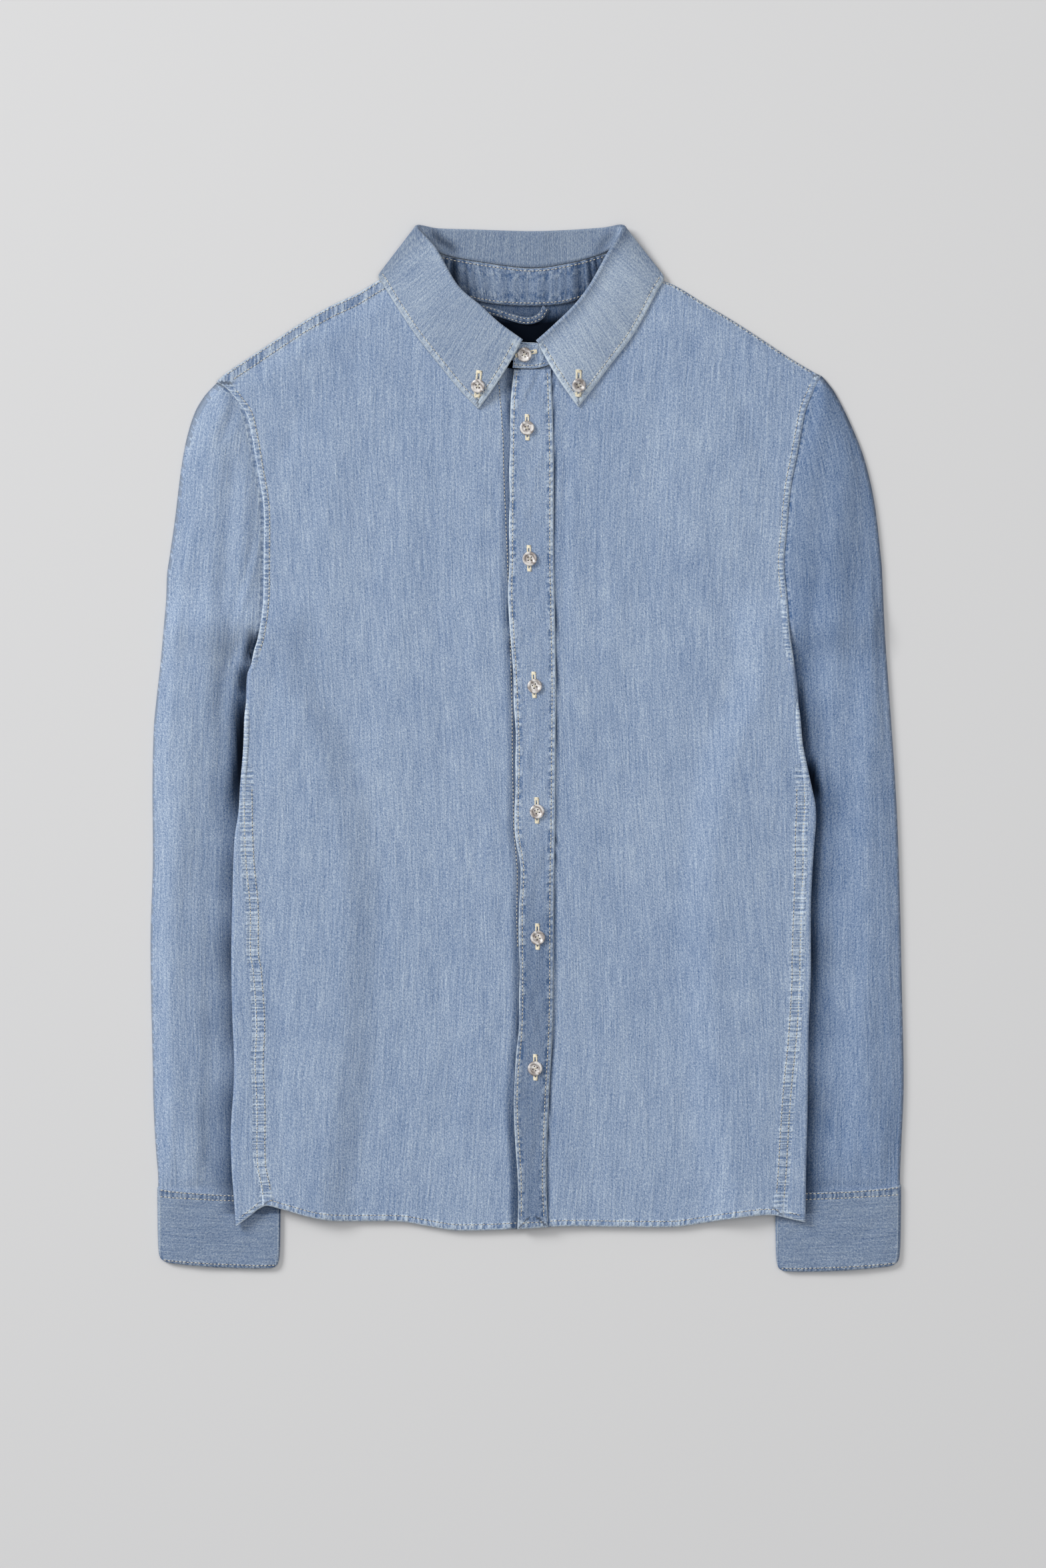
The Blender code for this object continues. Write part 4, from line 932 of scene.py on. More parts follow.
def sleeve_shape(side):
    inner_ends = np.array((*FIRST_RINGS[side], *INNER_FOLD[side][-2::-1]))[:, ::-1]
    heights = np.array(RING_HEIGHTS[side])
    folds = np.stack([follow(OUTER_FOLD[side], heights), heights], 1)
    places = distances((folds + inner_ends) / 2)
    rows = np.column_stack([places, heights, inner_ends, RING_CURVES])
    length = places[-1]
    top_y, (top_out, low_y) = heights[0], inner_ends[0]

    def shape(u, v):
        along = v * length
        outer_y, inner_out, inner_y, kept = (follow(rows, along, column) for column in (1, 2, 3, 4))
        under_cuff = SLEEVE_END * ease(length - 20, length, along)
        outer_y, inner_y = outer_y - under_cuff, inner_y - under_cuff
        outer = (follow(OUTER_FOLD[side], outer_y), outer_y)

        def bow(share):
            y = np.clip(outer_y + (inner_y - outer_y) * share, low_y, top_y)
            y = y + (top_y + (low_y - top_y) * share - y) * ease(0.5, 0.12, share)
            straight = folds[0, 0] + (top_out - folds[0, 0]) * (y - top_y) / (low_y - top_y)
            tuck = TUCK * ease(9.0, 0.0, along) * ease(0.0, 0.08, share)
            return kept * (side_line(side, y) - straight) - tuck, 0.0

        def top_at(out, height):
            tucked = 0.95 * ease(2.0, -0.6, out - side_line(side, height)) * ease(50, 60, height)
            return sleeve_top(side, out, height) - tucked

        out, height, z, share, width = tube_point(outer, (inner_out, inner_y), bow, u, top_at)
        clear = out - side_line(side, height)
        rim = np.where(height > 60.0, np.maximum(clear, 0.0) / 4.0, 60.0) + 0.3
        # Painted shade: near black in those deep places, then the body's painted shadow along the sleeve
        # below the underarm. The left sleeve is also made darker towards its top.
        shade = POCKET_SHADE * pocket_share(side, out, height) ** 1.1
        beside = np.exp(-((np.maximum(clear, 0.0) / BESIDE_REACH) ** 1.3)) * ease(95.0, 35.0, height)
        uneven = 0.75 + 0.25 * np.sin(height / 31.0) * np.sin(height / 13.0 + 1.0)
        shade = shade + (1 - shade) * BESIDE_SHADE * beside * uneven
        shade = shade + (0.13 * ease(40.0, 120.0, height) if side == LEFT else 0.0)
        weft = 0.7 * follow(OUTER_FOLD[side], height) - out + 150.0 * (u > UPPER_SHARE)
        weft = weft + side * 300
        return dict(
            x=side * out, y=height, z=z, weft=weft, warp=height, rim=rim, run=height, shade=shade
        )

    return shape


WORDS = {RIGHT: "right", LEFT: "left"}
# Painted shade: the left sleeve, on the side away from the window, gets a darker tone than the right one.
for side, tone in ((RIGHT, 0.52), (LEFT, 0.39)):
    look = chambray(f"chambray_sleeve_{WORDS[side]}", reach=0.8, tone=tone, ladder=0.7)
    sleeve = cloth_piece(f"sleeve_tube_{WORDS[side]}", 70, 400, sleeve_shape(side), look, tube=True)
    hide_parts(f"sleeve_{WORDS[side]}")

# ---------------------------------------------------------------- cuffs
# The cuffs are doubled and interlined bands, grain running round the wrist, sewn over the sleeve's
# end with two rows, and stitched along the foot. Their openings lie hidden underneath.
CUFF_WALL = 1.3
CUFF_TOP = {RIGHT: (277.2, -330.2, 184.2, -334.6), LEFT: (281.0, -328.2, 186.0, -332.4)}
CUFF_LEAN = {RIGHT: 0.0, LEFT: 4.6}  # how much further down its foot lies
CUFF_WAVES = ((0.22, 43.0, 31.0, 0.9), (0.12, 17.0, 23.0, 2.2))
CUFF_FACE, CUFF_PLUMP = 4.7, 0.7
# Drop below the top edge, share of the width, and how far the middle hangs below the ends.
CUFF_RINGS = (
    (0, 1, 2.8), (8, 1, 0.6), (20, 0.998, 0), (40, 0.99, 0), (48, 0.98, 0.3),
    (52, 0.962, 1), (54.4, 0.93, 1.8), (55.8, 0.87, 2.3),
)


def cuff_shape(side):
    out_0, y_0, out_1, y_1 = CUFF_TOP[side]
    deepest = CUFF_RINGS[-1][0]

    def shape(u, v):
        drop = v * deepest
        width, sag = follow(CUFF_RINGS, drop, 1), follow(CUFF_RINGS, drop, 2)
        middle, half = (out_0 + out_1) / 2, (out_0 - out_1) / 2 * width
        fall = drop + CUFF_LEAN[side] * v

        def bow(share):
            return 0.0, -sag * np.sin(math.pi * share) ** 0.5

        def top_at(out, height):
            swell = CUFF_PLUMP * ease(0, 30, out - side_line(side, height)) + waves(out, height, CUFF_WAVES)
            rows = 0.25 * groove(drop, 6.6, 0.9) + 0.2 * groove(drop, 1.4, 0.7)
            lip = 0.5 * rolled(drop, 0.9) + 0.9 * ease(deepest - 1.2, deepest, drop)
            return CUFF_FACE + swell - rows - lip + 0.16 * gathers(out, drop, 6.5, 6.1)

        outer, inner = (middle + half, y_0 - fall), (middle - half, y_1 - fall)
        out, height, z, share, wide = tube_point(outer, inner, bow, u, top_at)
        from_end = np.minimum(share, 1 - share) * wide
        rim = np.minimum(np.minimum(drop / 6.4, (deepest - drop) / 2.2), from_end / 3.0 + 0.3)
        # Painted shadow of the body on the cuff beside its side; the whole cuff is also made darker and
        # greyer.
        beside = 0.3 * ease(14.0, 0.0, out - side_line(side, height))
        return dict(
            x=side * out, y=height, z=z, weft=drop + 500, warp=share * wide, rim=rim,
            run=out * 1.5, shade=0.22 + beside * (height > -350.0),
        )

    return shape


CUFF_CLOTH = chambray("chambray_cuff", tone=0.56, streak=0.9)
cuffs = {}
for side, word in WORDS.items():
    cuff = cloth_piece(f"cuff_band_{word}", 84, 60, cuff_shape(side), CUFF_CLOTH, True, CUFF_WALL)
    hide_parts(f"cuff_{word}")
    cuffs[side] = cuff

# ---------------------------------------------------------------- collar stand
# The stand is an interlined band sewn round the neck. It stands up inside the collar, lies back
# flat behind the neck, and its left end laps and buttons over its right end at the throat.
BAND_WALL = 1.2
# Neck seam: x, y, z. Top edge: x, y, z.
STAND = (
    ((8, 290, 6), (8, 303, 10.2)),
    ((-12, 290.6, 6), (-9, 305, 10.4)),
    ((-30, 297, 6.6), (-22, 315.6, 13)),
    ((-54, 315, 7), (-36, 328.4, 13.8)),
    ((-78, 341, 6.8), (-54, 344, 13)),
    ((-91, 356, 5.4), (-68.5, 366.6, 9.4)),
    ((-88, 360, 3.6), (-76, 372.6, 6.6)),
    ((-68, 347, 2.45), (-62.8, 369, 4.4)),
    ((-36, 335, 2.45), (-40.4, 364.8, 3.8)),
    ((2, 331.6, 2.45), (2.5, 359.4, 3.6)),
    ((34, 334.6, 2.45), (33.4, 363.4, 3.8)),
    ((60, 347, 2.45), (54.8, 368.8, 4.4)),
    ((80, 360, 3.6), (67, 371.8, 6.6)),
    ((83, 356, 5.4), (61.8, 363.8, 9.4)),
    ((71, 341, 7.6), (50.4, 345.6, 13)),
    ((50, 315, 8.8), (38, 329.8, 13.8)),
    ((28, 293, 8.9), (20.8, 312.6, 13.2)),
    ((10, 284.6, 8.9), (8.4, 302.6, 12.4)),
    ((-10.6, 284.4, 8.9), (-8.6, 302, 12.2)),
)


def along_rows(points, share):
    """Places on a smooth curve through points, at shares of the way counted in points."""
    points = np.array(points, float)
    last = len(points) - 1
    place = np.clip(share, 0, 1) * last
    here = np.clip(place.astype(int), 0, last - 1)
    t = (place - here)[:, None]
    before, start = points[np.maximum(here - 1, 0)], points[here]
    end, after = points[here + 1], points[np.minimum(here + 2, last)]
    return 0.5 * (
        2 * start
        + (end - before) * t
        + (2 * before - 5 * start + 4 * end - after) * t**2
        + (3 * start - before - 3 * end + after) * t**3
    )


def run_along(points, share):
    """Distance along the curve through points, at shares of the way."""
    shares = np.linspace(0, 1, 200)
    return follow(np.column_stack([shares, distances(along_rows(points, shares))]), share)


def columns_of(rows):
    """The points in each column of a table of rows, one list for each column."""
    return [list(column) for column in zip(*rows)]


NECK_LINE, TOP_LINE = columns_of(STAND)
STAND_LONG = 420.0


def stand_shape(u, v):
    neck, top = along_rows(NECK_LINE, u), along_rows(TOP_LINE, u)
    place = neck + (top - neck) * v[:, None]
    run = run_along(NECK_LINE, u)
    high = np.linalg.norm(top - neck, axis=1)
    middle = np.sin(math.pi * v) * ease(0.3, 0.36, u) * ease(0.68, 0.62, u)
    place[:, 2] += middle * (0.22 * np.sin(run / 3.1 + 1.2 * np.sin(run / 11.0)) + 0.15)
    from_end = np.minimum(u, 1 - u) * STAND_LONG
    rim = np.minimum(np.minimum(v, 1 - v) * high, from_end) / 1.7
    # Painted shade: the stand's inside, down within the collar, is darkened, with darker streaks along it
    # and more at two places towards its ends.
    inside = ease(0.25, 0.34, u) * ease(0.73, 0.66, u)
    corner = groove(run, 170.0, 16.0) + groove(run, 282.0, 18.0)
    streaks = 0.5 + 0.5 * np.sin(run / 1.5 + 1.6 * np.sin(run / 5.0))
    shade = inside * (0.26 - 0.12 * v + 0.14 * streaks) + corner * (0.2 + 0.35 * streaks)
    x, y, z = place.T
    return dict(x=x, y=y, z=z, weft=run + 700, warp=v * high, rim=rim, run=run, shade=shade)


STAND_CLOTH = chambray("chambray_stand", reach=5.5, tone=0.55, streak=0.9, ladder=0.75)
stand = cloth_piece(
    "collar_stand_band", 240, 16, stand_shape, STAND_CLOTH, wall=BAND_WALL, centred=True
)
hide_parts("collar_stand")

# ---------------------------------------------------------------- collar leaf
# The leaf rises from the stand's top edge, turns over at the fold and falls over the fronts and
# the back of the neck. Its two points button down. It is topstitched all along its outer edge.
# Fold: x, y, z. Outer edge: x, y, z, or None where it lies on a front. Seam on the stand: x, y, z.
LEAF = (
    ((-3.4, 304.2, 18.0), (-36.2, 253.8, None), (-3.4, 304.2, 14.4)),
    ((-20.6, 316.4, 19.2), (-49.0, 267.0, None), (-20.6, 316.6, 15.6)),
    ((-34.6, 329.2, 20.0), (-63.2, 284.3, None), (-34.8, 329.6, 16.2)),
    ((-52.4, 345.0, 19.6), (-85.2, 312.3, None), (-52.0, 345.6, 15.2)),
    ((-68.6, 373.0, 15.5), (-106.4, 345.5, None), (-66.6, 369.0, 11.0)),
    ((-82.4, 390.4, 7.6), (-110, 355.6, 3.9), (-75, 376, 7.2)),
    ((-66, 389, 2.6), (-92, 366, 1.1), (-64, 370.6, 4.4)),
    ((-40, 388.2, 2.3), (-56, 367, 1.1), (-41, 365.4, 3.8)),
    ((2, 387, 2.2), (-2, 366.5, 1.1), (2.5, 360, 3.6)),
    ((34, 388, 2.3), (46, 367, 1.1), (34, 364, 3.8)),
    ((57, 389.6, 2.6), (82, 366, 1.1), (56, 370.4, 4.4)),
    ((72.8, 390.2, 7.6), (102, 354.2, 3.9), (66, 375, 7.2)),
    ((61.4, 370.0, 15.5), (97.0, 341.0, None), (60.0, 366.4, 11.0)),
    ((48.6, 346.6, 19.6), (80.5, 310.5, None), (48.4, 347.2, 15.2)),
    ((36.6, 330.6, 20.0), (62.0, 286.0, None), (36.8, 331.0, 16.2)),
    ((19.6, 314.0, 19.2), (49.5, 269.0, None), (19.6, 314.4, 15.6)),
    ((7.6, 303.6, 18.0), (38.7, 255.2, None), (7.6, 303.6, 14.4)),
)
LEAF_FOLD, LEAF_CROWN = 1.35, 1.6  # the fold's radius, and how far the middle stands up
LEAF_BOW = 1.6  # how far the front edges of the points bow out
# A dark crease painted as shade at each end of the fold, inside the collar; the surface there is not
# creased.
CREASE_SHADE = ((-62.5, 379.5, 26.0, 3.6, 0.42, -51.0), (58.0, 379.0, 22.0, 3.6, 0.2, 40.0))
LEAF_ROW = 4.0  # the topstitching's distance inside the edge
RISE_SHARE, TURN_SHARE = 0.2, 0.34  # of the leaf's columns, up the rise and round the fold


def lying_on_fronts(x, y):
    """Middle of a collar wall that lies on the fronts."""
    under = np.where(x > -14, ON_BACK, 0.0) * lapped(x, y) + np.where((x > -16) & (x < 24), ON_BACK, 0.0)
    full = by_side(x, lambda side: fullness(from_shoulder(side, x, y)))
    return under + back_height(x, y) + ON_BACK + full + CLOTH / 2 + SEAM + 1.3


LEAF_FOLDS, LEAF_OUTLINE, LEAF_SEAMS = columns_of(LEAF)
LEAF_RESTS = [(float(z is None),) for _, _, z in LEAF_OUTLINE]
LEAF_EDGES = [
    (x, y, lying_on_fronts(np.array([x]), np.array([y]))[0] if z is None else z)
    for x, y, z in LEAF_OUTLINE
]
LEAF_LONG = run_along(LEAF_EDGES, np.ones(1))[0]


def unit(vectors):
    return vectors / np.maximum(np.linalg.norm(vectors, axis=1), 1e-9)[:, None]


def leaf_shape(u, v):
    """u runs from the right point round the back to the left point, v from the seam to the edge."""
    folds, edges, seams = (along_rows(line, u) for line in (LEAF_FOLDS, LEAF_EDGES, LEAF_SEAMS))
    resting = np.clip(along_rows(LEAF_RESTS, u)[:, 0], 0, 1)
    rise, fall = unit(seams - folds), unit(edges - folds)
    apex, across = -unit(rise + fall), unit(fall - rise)
    centre = folds - LEAF_FOLD * apex
    inside, outside = centre - LEAF_FOLD * across, centre + LEAF_FOLD * across
    up = np.clip(v / RISE_SHARE, 0, 1)[:, None]
    turn = math.pi * np.clip((v - RISE_SHARE) / (TURN_SHARE - RISE_SHARE), 0, 1)[:, None]
    down = np.clip((v - TURN_SHARE) / (1 - TURN_SHARE), 0, 1)
    down = down - 0.25 * np.sin(math.tau * down) / math.tau
    place = np.where(
        v[:, None] < RISE_SHARE,
        seams + (inside - seams) * up,
        centre - LEAF_FOLD * np.cos(turn) * across + LEAF_FOLD * np.sin(turn) * apex,
    )
    falling = v > TURN_SHARE
    fallen = outside + (edges - outside) * down[:, None]
    place = np.where(falling[:, None], fallen, place)
    width = np.linalg.norm(edges - outside, axis=1)
    run = run_along(LEAF_EDGES, u)
    from_point = np.minimum(run, LEAF_LONG - run)
    middle = np.sin(math.pi * down)
    bowed = middle * ease(30.0, 0.0, from_point) * LEAF_BOW
    place[:, 0] += np.where(falling, bowed * np.where(u < 0.5, 1, -1), 0.0)
    edge = (1 - down) * width
    front_edge = from_point * 0.93
    rim = np.where(falling, np.minimum(edge, front_edge), 40.0)
    risen = np.linalg.norm(seams - folds, axis=1)
    x, y, z = place.T
    relief = 0.3 * np.sin(run / 15.0 + down * 2.0) * middle
    relief = relief - 0.3 * groove(rim, LEAF_ROW, 0.9) - 0.5 * rolled(rim, 1.0)
    relief = relief + 0.2 * gathers(run + (front_edge < edge) * edge, rim, 3.4)
    lying = np.maximum(z + resting * LEAF_CROWN * middle, lying_on_fronts(x, y))
    back_fall = z + 0.3 * relief
    fallen = resting * (lying + relief) + (1 - resting) * back_fall
    z = np.where(falling, np.where(resting > 0, fallen, back_fall), z)
    run_here = np.where(front_edge < edge, edge + 200.0, run)
    # Painted shade: the right point and the back of the leaf are darkened against the window's light, so
    # that they show like the left point, which faces away; the inside of the rise, the corners at the ends
    # of the fold and the turn of the left point, where the window catches it, are darkened too; and the
    # painted creases.
    right_half, left_half = ease(0.58, 0.5, u), ease(0.5, 0.58, u) * ease(0.7, 0.64, u)
    lit = (0.16 - 0.05 * ease(0.3, 0.38, u)) * right_half + 0.12 * left_half
    rising = 0.2 * ease(TURN_SHARE, RISE_SHARE, v) * ease(0.28, 0.34, u) * ease(0.72, 0.66, u)
    corner = groove(u, 0.3, 0.04) + groove(u, 0.7, 0.04)
    turned = ease(RISE_SHARE, RISE_SHARE + 0.05, v) * ease(0.5, TURN_SHARE, v) * ease(0.64, 0.7, u)
    crease_shade = creases(x, y, CREASE_SHADE) * (v < TURN_SHARE)
    shade = lit + rising + 0.22 * corner * (v > RISE_SHARE) + 0.22 * turned + crease_shade
    warp = risen * np.clip(v / TURN_SHARE, 0, 1) + down * width
    return dict(
        x=x, y=y, z=z, weft=run + 900, warp=warp, rim=rim / LEAF_ROW, run=run_here, shade=shade,
        edge=edge, from_point=front_edge,
    )


# The leaf's tone is raised to make up for the light falling away from its left point; leaf_shape paints
# shade over the rest.
LEAF_CLOTH = chambray("chambray_leaf", tone=0.67, streak=0.9, ladder=0.7, wear=0.5, strip=0.2)
leaf = cloth_piece("collar_leaf_fold", 260, 40, leaf_shape, LEAF_CLOTH, wall=BAND_WALL, centred=True)
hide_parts("collar_leaf")

# ---------------------------------------------------------------- locker loop
# The locker loop is a narrow tape of the same cloth, folded and stitched along both edges. It lies
# in a slack curve on the yoke, and its two ends are caught in the stand's seam.
LOOP_ROUTE = ((-37.0, 330.6), (-22.0, 326.2), (-2.0, 320.4), (9.0, 322.6), (14.5, 330.2))
LOOP_LONG, LOOP_WIDTH, LOOP_FACE = 62.0, 5.4, 3.1


def loop_shape(u, v):
    x, y = along_rows(LOOP_ROUTE, u).T
    way_x, way_y = unit(along_rows(LOOP_ROUTE, u + 0.01) - along_rows(LOOP_ROUTE, u - 0.01)).T
    offset = (v - 0.5) * LOOP_WIDTH
    run = u * LOOP_LONG
    edge = (0.5 - np.abs(v - 0.5)) * LOOP_WIDTH
    z = LOOP_FACE + 0.5 * np.sin(math.pi * v) - 0.25 * groove(edge, 1.1, 0.5)
    z = z + 0.12 * np.sin(run * 1.3)
    # Painted shade: the loop, down inside the neck, is darkened, more towards one edge.
    return dict(
        x=x - way_y * offset, y=y + way_x * offset, z=z, weft=offset + 1100, warp=run,
        rim=edge / 1.2, run=run, shade=0.58 - 0.2 * v,
    )


loop = cloth_piece("locker_loop_tape", 60, 12, loop_shape, STAND_CLOTH)
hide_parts("locker_loop")

# ---------------------------------------------------------------- stitches
# Every seam and edge is sewn in cream cotton, nine stitches to the inch. The stitches lie sunk a
# little in the cloth, and thread shows as dashes, with a dark mark of painted shade at the needle
# hole between two of them.
STITCH_STEP, STITCH_LONG, STITCH_WIDE, STITCH_HIGH = 2.9, 2.15, 0.68, 0.45
HOLE_LONG, HOLE_WIDE, HOLE_HIGH = 1.0, 0.95, 0.16
SKIP_DROP = 1.5  # no stitch runs down from one layer to the next
OVERHEAD = 80.0  # clear above the whole shirt


def thread_look(name, red, green, blue):
    """Twisted cotton: fine slanting plies and a slight unevenness of dye."""
    finish, shader, tree = finish_of(name, Roughness=0.7, Sheen_Weight=0.15)
    start = Wire(tree)
    place = start.node("ShaderNodeTexCoord", output=3)
    cloud = start.node("ShaderNodeTexNoise", {"Vector": place, "Scale": 420.0, "Detail": 2.0})
    plies = start.node("ShaderNodeTexNoise", {"Vector": place, "Scale": 2600.0, "Detail": 1.0})
    pale, dark = dyed(red, green, blue), dyed(red * 0.86, green * 0.85, blue * 0.82)
    (0.5 * cloud + 0.5 * plies).ramp((0.3, dark), (0.6, pale)).feeds(shader, "Base Color")
    plies.raises(shader, 0.1 * MM, 0.6)
    return finish


COTTON = thread_look("cotton_thread", 216, 210, 194)
BUTTONHOLE_COTTON = thread_look("buttonhole_thread", 240, 232, 210)
HOLE_SHADE = thread_look("needle_hole_shade", 58, 74, 108)  # painted shade where the cloth is drawn down into a needle's hole


def surface_of(piece):
    return BVHTree.FromObject(piece, bpy.context.evaluated_depsgraph_get())


def drop_onto(surface, x, y):
    """The highest point of a surface at x, y in millimetres, or None beside it."""
    hit = surface.ray_cast(Vector((x, y, OVERHEAD)) * MM, Vector((0, 0, -1)))[0]
    return hit / MM if hit else None


def lay_thread(shape, start, end, wide, high, sink=0.05):
    """One stitch: a flattened grain of thread from start to end."""
    along = end - start
    aside = Vector((0, 0, 1)).cross(along).normalized()
    turn = Matrix((along.normalized(), aside, along.cross(aside).normalized())).transposed()
    middle = (start + end) / 2 + Vector((0, 0, high / 2 - sink))
    size = Matrix.Diagonal((along.length / 2 * MM, wide / 2 * MM, high / 2 * MM, 1.0))
    place = Matrix.Translation(middle * MM) @ turn.to_4x4() @ size
    bmesh.ops.create_icosphere(shape, subdivisions=1, radius=1.0, matrix=place)


def small_piece(name, shape, look):
    mesh = mesh_of(name, shape)
    mesh.shade_smooth()
    mesh.materials.append(look)
    made = put(name, mesh)
    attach(made, "root")
    return made


def sew(name, carrier, routes):
    """Stitches on top of a piece, along routes given as rows of x and y."""
    surface = surface_of(carrier)
    seam, pricks = bmesh.new(), bmesh.new()
    for route in routes:
        points = np.array(route, float)[:, :2]
        ways = distances(points)
        count = int(ways[-1] / STITCH_STEP)
        for index in range(count):
            from_start = (index + 0.5 * (1 - STITCH_LONG / STITCH_STEP)) * ways[-1] / count
            sway = 0.16 * math.sin(index * 1.9) + 0.1 * math.sin(index * 0.7 + 2.0)
            ends = []
            after = from_start + (STITCH_STEP + STITCH_LONG - HOLE_LONG) / 2
            for way in (from_start, from_start + STITCH_LONG, after, after + HOLE_LONG):
                x, y = np.interp(way, ways, points[:, 0]), np.interp(way, ways, points[:, 1])
                ends.append(drop_onto(surface, x + 0.3 * sway, y + 0.3 * sway))
            if all(ends) and abs(ends[0].z - ends[1].z) < SKIP_DROP:
                lay_thread(seam, ends[0], ends[1], STITCH_WIDE, STITCH_HIGH)
                lay_thread(pricks, ends[2], ends[3], HOLE_WIDE, HOLE_HIGH, 0.06)
    small_piece(name.replace("stitches", "pricks"), pricks, HOLE_SHADE)
    small_piece(name, seam, COTTON)


def beside_edge(side, inside, low, high):
    """A route a distance inside a front's side or armhole edge."""
    y = np.arange(low, high, 1.0)
    return np.column_stack([side * (side_seam(side, y) - inside * side_slant(side, y)), y])


def below_shoulder(side, inside, near, far):
    out = np.arange(near, far, 1.0)
    return np.column_stack([side * out, follow(SHOULDER_LINE[side], out) - inside / SHOULDER_LEAN])


def above_hem(low, high):
    x = np.arange(low, high, 1.0)
    return np.column_stack([x, follow(HEM, x) + HEM_TURN - 0.2])


def inside_placket(column, inside, low, high):
    y = np.arange(low, high, 1.0)
    return np.column_stack([follow(PLACKET, y, column) + inside, y])


TURNED_EDGE = (
    (-21.6, 280), (-20.8, 272.8), (-17.8, 234.3), (-17.3, 207.8), (-14.3, 138.8), (-12.3, 84.3),
    (-11, 30), (-10.4, -20), (-9.8, -60), (-7, -92), (-7.4, -128), (-6.8, -150),
)
sew("stitches_front_right", front_right, (
    beside_edge(RIGHT, ARMHOLE_STITCH, 72.0, 269.0),
    beside_edge(RIGHT, 1.2, -336.0, -16.0), beside_edge(RIGHT, STRIP - 0.4, -332.0, -30.0),
    below_shoulder(RIGHT, 2.2, 93.0, 226.0), below_shoulder(RIGHT, SHOULDER_STRIP[RIGHT], 96.0, 221.0),
    above_hem(-193.0, -6.0), TURNED_EDGE,
))
sew("stitches_front_left", front_left, (
    beside_edge(LEFT, ARMHOLE_STITCH, 112.0, 274.0),
    beside_edge(LEFT, 1.2, -338.0, -20.0), beside_edge(LEFT, STRIP - 0.4, -334.0, -30.0),
    below_shoulder(LEFT, 1.5, 86.0, 214.0), above_hem(17.0, 190.0),
))
sew("stitches_back", back, (above_hem(-214.0, -200.0), above_hem(196.0, 206.0)))
sew("stitches_placket", placket, (
    inside_placket(1, PLACKET_ROW, -352.0, 282.0), inside_placket(2, -3.0, -352.0, 282.0),
    above_hem(-3.5, 13.5),
))


def route_across(shape, start, end, v, count):
    """A route across a piece, where its v is the same all along."""
    laid = shape(np.linspace(start, end, count), np.full(count, v))
    return np.column_stack([laid["x"], laid["y"]])


for side, word in WORDS.items():
    deepest = CUFF_RINGS[-1][0]
    drops = (1.3, 6.6, deepest - 2.0)
    rows = [route_across(cuff_shape(side), 0.02, 0.64, drop / deepest, 120) for drop in drops]
    sew(f"stitches_cuff_{word}", cuffs[side], rows)


def leaf_route(first, last):
    """Along the leaf's outer edge where it lies on the fronts, the topstitching's distance in."""
    downs = np.linspace(TURN_SHARE + 0.02, 1.0, 60)
    route = []
    for share in np.linspace(first, last, 90):
        laid = leaf_shape(np.full(60, share), downs)
        edge = np.interp(LEAF_ROW, laid["edge"][::-1], downs[::-1])
        at = leaf_shape(np.full(1, share), np.full(1, edge))
        if at["from_point"][0] > LEAF_ROW:
            route.append((at["x"][0], at["y"][0]))
    return route


def leaf_front_route(share):
    """Down the front edge of a point, the same distance in."""
    downs = np.linspace(TURN_SHARE + 0.05, 1.0, 60)
    laid = leaf_shape(np.full(60, share), downs)
    inner = laid["edge"] > LEAF_ROW
    return np.column_stack([laid["x"], laid["y"]])[inner]


shares = np.linspace(0.0, 0.1, 60)
front_share = np.interp(LEAF_ROW, leaf_shape(shares, np.full(60, 1.0))["from_point"], shares)
sew("stitches_leaf", leaf, (
    leaf_route(0.0, 0.29), leaf_route(0.71, 1.0),
    leaf_front_route(front_share), leaf_front_route(1 - front_share),
))
sew("stitches_stand", stand, (
    route_across(stand_shape, 0.36, 0.62, 0.93, 160), route_across(stand_shape, 0.36, 0.62, 0.07, 160),
    route_across(stand_shape, 0.93, 0.995, 0.13, 160), ((-9.4, 286.0), (-8.2, 300.0)),
))
sew("stitches_loop", loop, [route_across(loop_shape, 0, 1, edge, 60) for edge in (0.22, 0.78)])

# ---------------------------------------------------------------- buttonholes
# Nine worked buttonholes: two legs of close cream stitches beside a slit, and a bar across each
# end. The buttons cover their middles.
# Near black painted in each buttonhole's slit and in each button's holes, for the shade inside them.
SHADOW_BLACK = finish_of("slit", Base_Color=(0.01, 0.014, 0.025, 1.0), Roughness=0.95)[0]
# Name, what it is worked in, one end and the other: x, y, and its width against the placket's.
BUTTONHOLES = (
    ("front_1", placket, (0.2, 248.6), (0.6, 231.2), 1.0),
    ("front_2", placket, (1.6, 150.4), (2.0, 133.0), 1.0),
    ("front_3", placket, (5.2, 55.6), (5.8, 38.2), 1.0),
    ("front_4", placket, (7.4, -38.6), (7.8, -56.0), 1.0),
    ("front_5", placket, (8.0, -133.2), (8.2, -150.6), 1.0),
    ("front_6", placket, (6.4, -231.2), (6.6, -248.6), 1.0),
    ("point_right", leaf, (-35.6, 281.0), (-37.2, 263.4), 1.4),
    ("point_left", leaf, (39.0, 281.6), (38.8, 263.8), 1.4),
    ("stand", stand, (-7.4, 293.6), (6.6, 296.4), 1.0),
)
LEG_STEP, LEG_ASIDE, LEG_LONG = 0.42, 1.05, 1.5
BAR_STITCHES, BAR_STEP, BAR_LONG = 6, 0.38, 4.1
WORKED_WIDE, WORKED_HIGH = 0.62, 0.7


